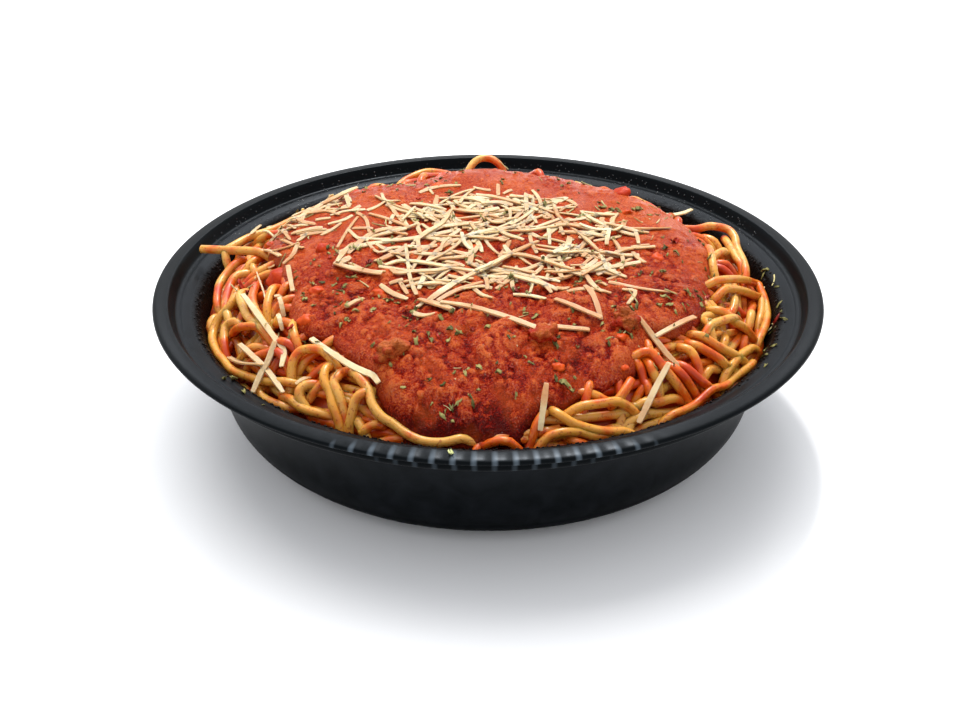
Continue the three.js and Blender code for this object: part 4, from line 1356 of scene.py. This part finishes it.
def bolognese_sauce():
    """Simmered tomato and mince: orange red pulp, painted shade of dark red in dents, at the front and low
    down, browner on meat, with wet glints.
    """
    made, tree = new_material("bolognese_sauce")
    place = node(tree, "ShaderNodeTexCoord").outputs["Object"]
    crevice = node(tree, "ShaderNodeAttribute", attribute_name="crevice").outputs["Fac"]
    meat = node(tree, "ShaderNodeAttribute", attribute_name="meat").outputs["Fac"]
    # oil lies on it in patches of about 9 mm; the pulp's fibres and grains are about 0.6 and 0.5 mm
    patches = node(tree, "ShaderNodeTexNoise", {
        "Vector": place, "Scale": scale_of(9.09), "Detail": 4.0}).outputs["Fac"]
    pulp = node(tree, "ShaderNodeTexNoise", {
        "Vector": place, "Scale": scale_of(0.625), "Detail": 4.0, "Roughness": 0.72}).outputs["Fac"]
    grains = node(tree, "ShaderNodeTexVoronoi", {"Vector": place, "Scale": scale_of(0.5)}).outputs["Distance"]
    # painted shade: the ramp runs from orange red on raised parts to dark red in dents, at the front and low
    # down
    darkness_with_painted_shade = node(tree, "ShaderNodeMath", {0: pulp, 1: -2.0, 2: crevice}, operation="MULTIPLY_ADD").outputs[0]
    darkness_with_painted_shade = node(tree, "ShaderNodeMath", {0: darkness_with_painted_shade, 1: 1.04}).outputs[0]
    shade = node(tree, "ShaderNodeValToRGB", {0: darkness_with_painted_shade}, [
        (0.20, colour("C65E2A")), (0.98, colour("480100")), (0.48, colour("A83610")),
        (0.74, colour("840C01"))]).outputs[0]
    oily = node(tree, "ShaderNodeMapRange", {0: patches, 1: 0.50, 2: 0.70, 4: 0.5}).outputs[0]
    bare = node(tree, "ShaderNodeMath", {0: meat, 1: pulp}, operation="MULTIPLY").outputs[0]
    bare = node(tree, "ShaderNodeMapRange", {0: bare, 1: 0.2, 2: 0.55, 4: 0.6}).outputs[0]
    for share, over in ((oily, "B84A18"), (bare, "AE4E24")):
        shade = node(tree, "ShaderNodeMix", {
            0: share, 6: shade, 7: colour(over)}, data_type="RGBA").outputs[2]
    relief = node(tree, "ShaderNodeBump", {"Height": pulp, "Strength": 1.0, "Distance": 1.1 * MM}).outputs[0]
    wet = node(tree, "ShaderNodeBump", {
        "Height": grains, "Strength": 1.0, "Distance": 0.6 * MM, "Normal": relief}).outputs[0]
    beads = node(tree, "ShaderNodeMapRange", {0: grains, 1: 0.46, 2: 0.24, 4: 1.0}).outputs[0]
    raised = node(tree, "ShaderNodeMapRange", {0: darkness_with_painted_shade, 1: 0.5, 2: 0.9, 3: 1.0, 4: 0.2}).outputs[0]
    beads = node(tree, "ShaderNodeMath", {0: beads, 1: raised}, operation="MULTIPLY").outputs[0]
    finished(tree, {
        "Base Color": shade, "Roughness": 0.32, "Normal": relief, "Specular IOR Level": 0.08,
        "Specular Tint": colour("FFB8A0"),
        "Subsurface Weight": 0.15, "Subsurface Radius": (1.4, 0.4, 0.2), "Subsurface Scale": MM,
        "Coat Weight": beads, "Coat Roughness": 0.09, "Coat IOR": 1.5, "Coat Normal": wet})
    return made


def plain_food(name, low, high, size, roughness, depth, soft=0.0, soaked=None):
    """A food surface with two tones, in patches of a size and a relief of a depth in millimetres.

    Soft is how much light shines into it, and soaked is the colour it takes on where its stain says so.
    """
    made, tree = new_material(name)
    place = node(tree, "ShaderNodeTexCoord").outputs["Object"]
    tone = node(tree, "ShaderNodeAttribute", attribute_name="tone").outputs["Fac"]
    patches = node(tree, "ShaderNodeTexNoise", {
        "Vector": place, "Scale": scale_of(size), "Detail": 4.0}).outputs["Fac"]
    mixed = node(tree, "ShaderNodeMath", {0: tone, 1: 0.6, 2: patches}, operation="MULTIPLY_ADD").outputs[0]
    shade = node(tree, "ShaderNodeValToRGB", {0: mixed}, [
        (0.45, colour(low)), (1.05, colour(high))]).outputs[0]
    if soaked:
        stain = node(tree, "ShaderNodeAttribute", attribute_name="stain").outputs["Fac"]
        shade = node(tree, "ShaderNodeMix", {
            0: stain, 6: shade, 7: colour(soaked)}, data_type="RGBA").outputs[2]
    relief = node(tree, "ShaderNodeBump", {
        "Height": patches, "Strength": 0.6, "Distance": depth * MM}).outputs[0]
    finished(tree, {
        "Base Color": shade, "Roughness": roughness, "Normal": relief, "Specular IOR Level": 0.12,
        "Subsurface Weight": soft, "Subsurface Radius": (2.0, 1.6, 1.0), "Subsurface Scale": MM})
    return made


def cooked_beef():
    """Browned minced beef: rugged, brown, with dark red sauce in its dents."""
    return plain_food(
        "cooked_beef", "8C3C12", "C0662C", size=0.8, roughness=0.4, depth=3.0, soft=0.1, soaked="9C2004")


def stewed_tomato():
    """Stewed tomato flesh: smooth, soft, clear orange red."""
    return plain_food(
        "stewed_tomato", "A02402", "C0480C", size=2.0, roughness=0.36, depth=0.8, soft=0.1)


def hard_cheese():
    """Grated hard cheese: cream, waxy, light shines into it, orange where it soaks up the sauce."""
    return plain_food(
        "grated_hard_cheese", "BCA47E", "C8B892", size=1.2, roughness=0.36, depth=0.25, soft=0.75,
        soaked="AE8058")


def cheese_dust():
    """Crumbs of hard cheese: dry and matt, a little darker than the shreds."""
    return plain_food("cheese_dust", "B89C6C", "D0BA8E", size=0.8, roughness=0.6, depth=0.1)


def herb_leaf():
    """Dried rubbed herb leaf: matt, dark green to straw."""
    return plain_food("dried_herb_leaf", "32320F", "8E864E", size=0.9, roughness=0.6, depth=0.2)


def pale_leaf():
    """One bleached piece of dried leaf: matt, pale yellow green."""
    return plain_food("pale_dried_leaf", "A8AC6E", "C8CA92", size=1.0, roughness=0.7, depth=0.1)


def herb_stalk():
    """Dried herb stalk: matt straw."""
    return plain_food("dried_herb_stalk", "8F8550", "C6BC86", size=1.0, roughness=0.7, depth=0.1)


def chilli_skin():
    """Dried chilli skin: dark red with a dull gloss."""
    return plain_food("dried_chilli_skin", "5A0D05", "9E2410", size=1.5, roughness=0.4, depth=0.2)


def dried_spatter():
    """Sauce dried onto black plastic: nearly black brown, with a dull gloss."""
    return plain_food("dried_spatter", "080504", "1A0E0A", size=1.0, roughness=0.4, depth=0.2)


def water():
    """Clear water in fine beads: as dark as the plastic it lies on, with a sharp highlight on each."""
    made, tree = new_material("water_bead")
    place = node(tree, "ShaderNodeTexCoord").outputs["Object"]
    # the beads differ in shade every 2.5 mm or so
    film = node(tree, "ShaderNodeTexNoise", {"Vector": place, "Scale": scale_of(2.5)}).outputs["Fac"]
    shade = node(tree, "ShaderNodeValToRGB", {0: film}, [
        (0.3, colour("0A0C0E")), (0.7, colour("1C2226"))]).outputs[0]
    finished(tree, {"Base Color": shade, "Roughness": 0.12, "IOR": 1.33, "Specular IOR Level": 0.9})
    return made


def white_floor():
    """Plain white paper sweep under the bowl."""
    made, tree = new_material("white_floor")
    place = node(tree, "ShaderNodeTexCoord").outputs["Object"]
    faint = node(tree, "ShaderNodeTexNoise", {"Vector": place, "Scale": scale_of(333)}).outputs["Fac"]
    shade = node(tree, "ShaderNodeValToRGB", {0: faint}, [
        (0.0, colour("F6F6F6")), (1.0, colour("F9F9F9"))]).outputs[0]
    finished(tree, {"Base Color": shade, "Roughness": 0.9, "Specular IOR Level": 0.1})
    return made


# ---------- studio, in metres ----------

FLOOR_HALF = 6.0
FLOOR_DROP = 0.0002          # keeps the floor clear of the bowl's underside
FOOD = (0, 0, 0.05)          # what the lamps point at
CAMERA_PLACE = (-0.002699, -0.458184, 0.280301)
CAMERA_TILT = 60.10          # degrees up from straight down
LENS, SENSOR = 55.49, 36     # millimetres


def floor():
    """The floor under the bowl."""
    h = FLOOR_HALF
    mesh = bpy.data.meshes.new("floor")
    mesh.from_pydata([(-h, -h, 0), (h, -h, 0), (h, h, 0), (-h, h, 0)], [], [(0, 1, 2, 3)])
    mesh.materials.append(white_floor())
    made = linked("floor", mesh)
    made.location.z = -FLOOR_DROP


def lamp(name, place, size, power, tint="FFFFFF"):
    """A rectangular lamp that points at the food."""
    data = bpy.data.lights.new(name, "AREA")
    data.shape = "RECTANGLE"
    data.size, data.size_y = size
    data.energy = power
    data.color = colour(tint)[:3]
    made = linked(name, data)
    made.location = place
    made.rotation_euler = (Vector(FOOD) - Vector(place)).to_track_quat("-Z", "Y").to_euler()


def camera():
    """The camera, in front of the bowl and above it."""
    made = linked("camera", bpy.data.cameras.new("camera"))
    made.data.lens = LENS
    made.data.sensor_width = SENSOR
    made.data.clip_start, made.data.clip_end = 0.01, 50
    made.location = CAMERA_PLACE
    made.rotation_euler = (math.radians(CAMERA_TILT), 0, 0)
    bpy.context.scene.camera = made


def studio():
    """Floor, lamps, soft light from all round, and camera."""
    floor()
    lamp("softbox_above", (-0.15, 0.40, 1.25), (1.3, 0.9), 13)
    lamp("bulb_behind", (0.12, 0.70, 1.10), (0.12, 0.12), 12)
    for side in (-0.62, -0.31, 0.0, 0.31, 0.62):
        lamp("tube_behind", (side, 1.3, 1.1), (0.09, 0.5), 1.5, "F4F8FF")
    world = bpy.data.worlds.new("soft_room")
    world.use_nodes = True
    world.node_tree.nodes.clear()
    light = node(world.node_tree, "ShaderNodeBackground", {"Color": colour("F2F4F8"), "Strength": 1.12})
    node(world.node_tree, "ShaderNodeOutputWorld", {"Surface": light.outputs[0]})
    bpy.context.scene.world = world
    camera()
    bpy.context.scene.view_settings.view_transform = "Standard"


# ---------- everything together ----------

def placed(piece, slot=None, *nodes):
    """The piece moves with the part and takes the place of the given solids; its slot is not used."""
    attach(piece, "root")
    if nodes:
        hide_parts(*nodes)


def bowl_pieces():
    """The bowl and the water on its ledge."""
    placed(takeaway_bowl(turning_tree(black_polypropylene())), "black_plastic", "bowl")
    placed(water_beads(bead_tree(water())))


def pasta_pieces():
    """All strands and the core under them; gives the height map of their tops."""
    pasta = cooked_pasta()
    strands, tops = spaghetti_paths(4)
    half = len(strands) // 2
    tree = strand_tree(pasta)
    placed(spaghetti("spaghetti_lower", strands[:half], tree, seed=21), "pasta", "spaghetti")
    placed(spaghetti("spaghetti_upper", strands[half:], tree, seed=22), "pasta", "spaghetti")
    placed(pasta_core(pasta), "pasta")
    return tops


def sauce_pieces(tops):
    """The sauce with its crumbles and pieces of tomato; gives the height map of its skin."""
    skin, crevice, bare = sauce_surface(tops)
    placed(meat_sauce(skin, crevice, bare, bolognese_sauce()), "sauce", "meat_sauce")
    beef = cooked_beef()
    for name, *sizes in CRUMBLES:
        placed(beef_crumble(name, *sizes, skin, beef), "beef", name)
    placed(tomato_pieces(skin, stewed_tomato()))
    return skin


def upper_surface(skin, tops):
    """Height map of everything that shreds and sprinkles can lie on."""
    ground = np.where(under_sauce(GRID_X, GRID_Y) > 0, np.maximum(skin, tops), tops)
    return np.where(GRID_FAR > LEDGE_FROM, np.maximum(ground, ledge_height(GRID_FAR)), ground)


def leaf_spots(rng):
    """Places of the herb leaves: all over the food, on both sides of the ledge, and in clusters."""
    right = [(rng.uniform(-32, 12), rng.uniform(97.5, 104)) for _ in range(13)]
    left = [(rng.uniform(212, 232), rng.uniform(98, 104)) for _ in range(5)]
    leaves = scattered_spots(rng, 260, within=88, lengths=(0.7, 2.1), slim=(0.3, 0.6))
    leaves += ledge_spots(rng, right + left, lengths=(1.0, 2.6), slim=(0.3, 0.6))
    for x, y in HERB_CLUSTERS:
        for _ in range(rng.integers(2, 7)):
            length = rng.uniform(1.0, 2.4)
            place = (x + rng.normal(0, 1.8), y + rng.normal(0, 2.2))
            leaves.append((*place, length, length * rng.uniform(0.3, 0.65)))
    return leaves


def sprinkles(ground):
    """Herbs, chilli, crumbs and spatter on the food and the rim."""
    rng = np.random.default_rng(33)
    placed(sprinkled("herb_leaves", leaf_flake, leaf_spots(rng), ground, herb_leaf(), seed=51))
    stalks = scattered_spots(rng, 60, within=88, lengths=(1.8, 4.6), slim=(0.10, 0.16))
    stalks += ledge_spots(rng, [(4, 101), (-12, 98)], lengths=(4, 6), slim=(0.1, 0.12))
    placed(herb_stalks(stalks, ground, strand_tree(herb_stalk())))
    flakes = [(-80, -14, 4.0, 3.0), (-84, -10, 2.8, 1.8), (-62, -50, 2.0, 1.4), (97, -20, 3.4, 1.2)]
    flakes += scattered_spots(rng, 16, within=86, lengths=(1.0, 2.2), slim=(0.5, 0.8))
    placed(sprinkled("chilli_flakes", leaf_flake, flakes, ground, chilli_skin(), seed=53))
    dust = scattered_spots(rng, 40, within=86, lengths=(0.4, 0.8), slim=(0.5, 0.8)) + [(97.5, 8, 1.8, 1.2)]
    placed(sprinkled("pale_flake", leaf_flake, [(-11, -110.3, 2.6, 1.5)], ground, pale_leaf(), seed=55))
    edge = [(rng.uniform(150, 390), rng.normal(99.6, 0.7)) for _ in range(420)]
    spatter = ledge_spots(rng, edge, lengths=(0.5, 1.1), slim=(0.6, 0.9))
    placed(sprinkled("dried_spatter", speck, spatter, ground, dried_spatter(), seed=56))
    placed(sprinkled("cheese_crumbs", speck, dust, ground, cheese_dust(), seed=54, lift=0.15))


def build():
    """Every piece, from the bowl up, each laid on what lies below it."""
    bowl_pieces()
    tops = pasta_pieces()
    skin = sauce_pieces(tops)
    ground = upper_surface(skin, tops)
    placed(grated_cheese(ground, skin, shred_tree(hard_cheese())), "cheese", "grated_cheese")
    sprinkles(ground)


build()
studio()
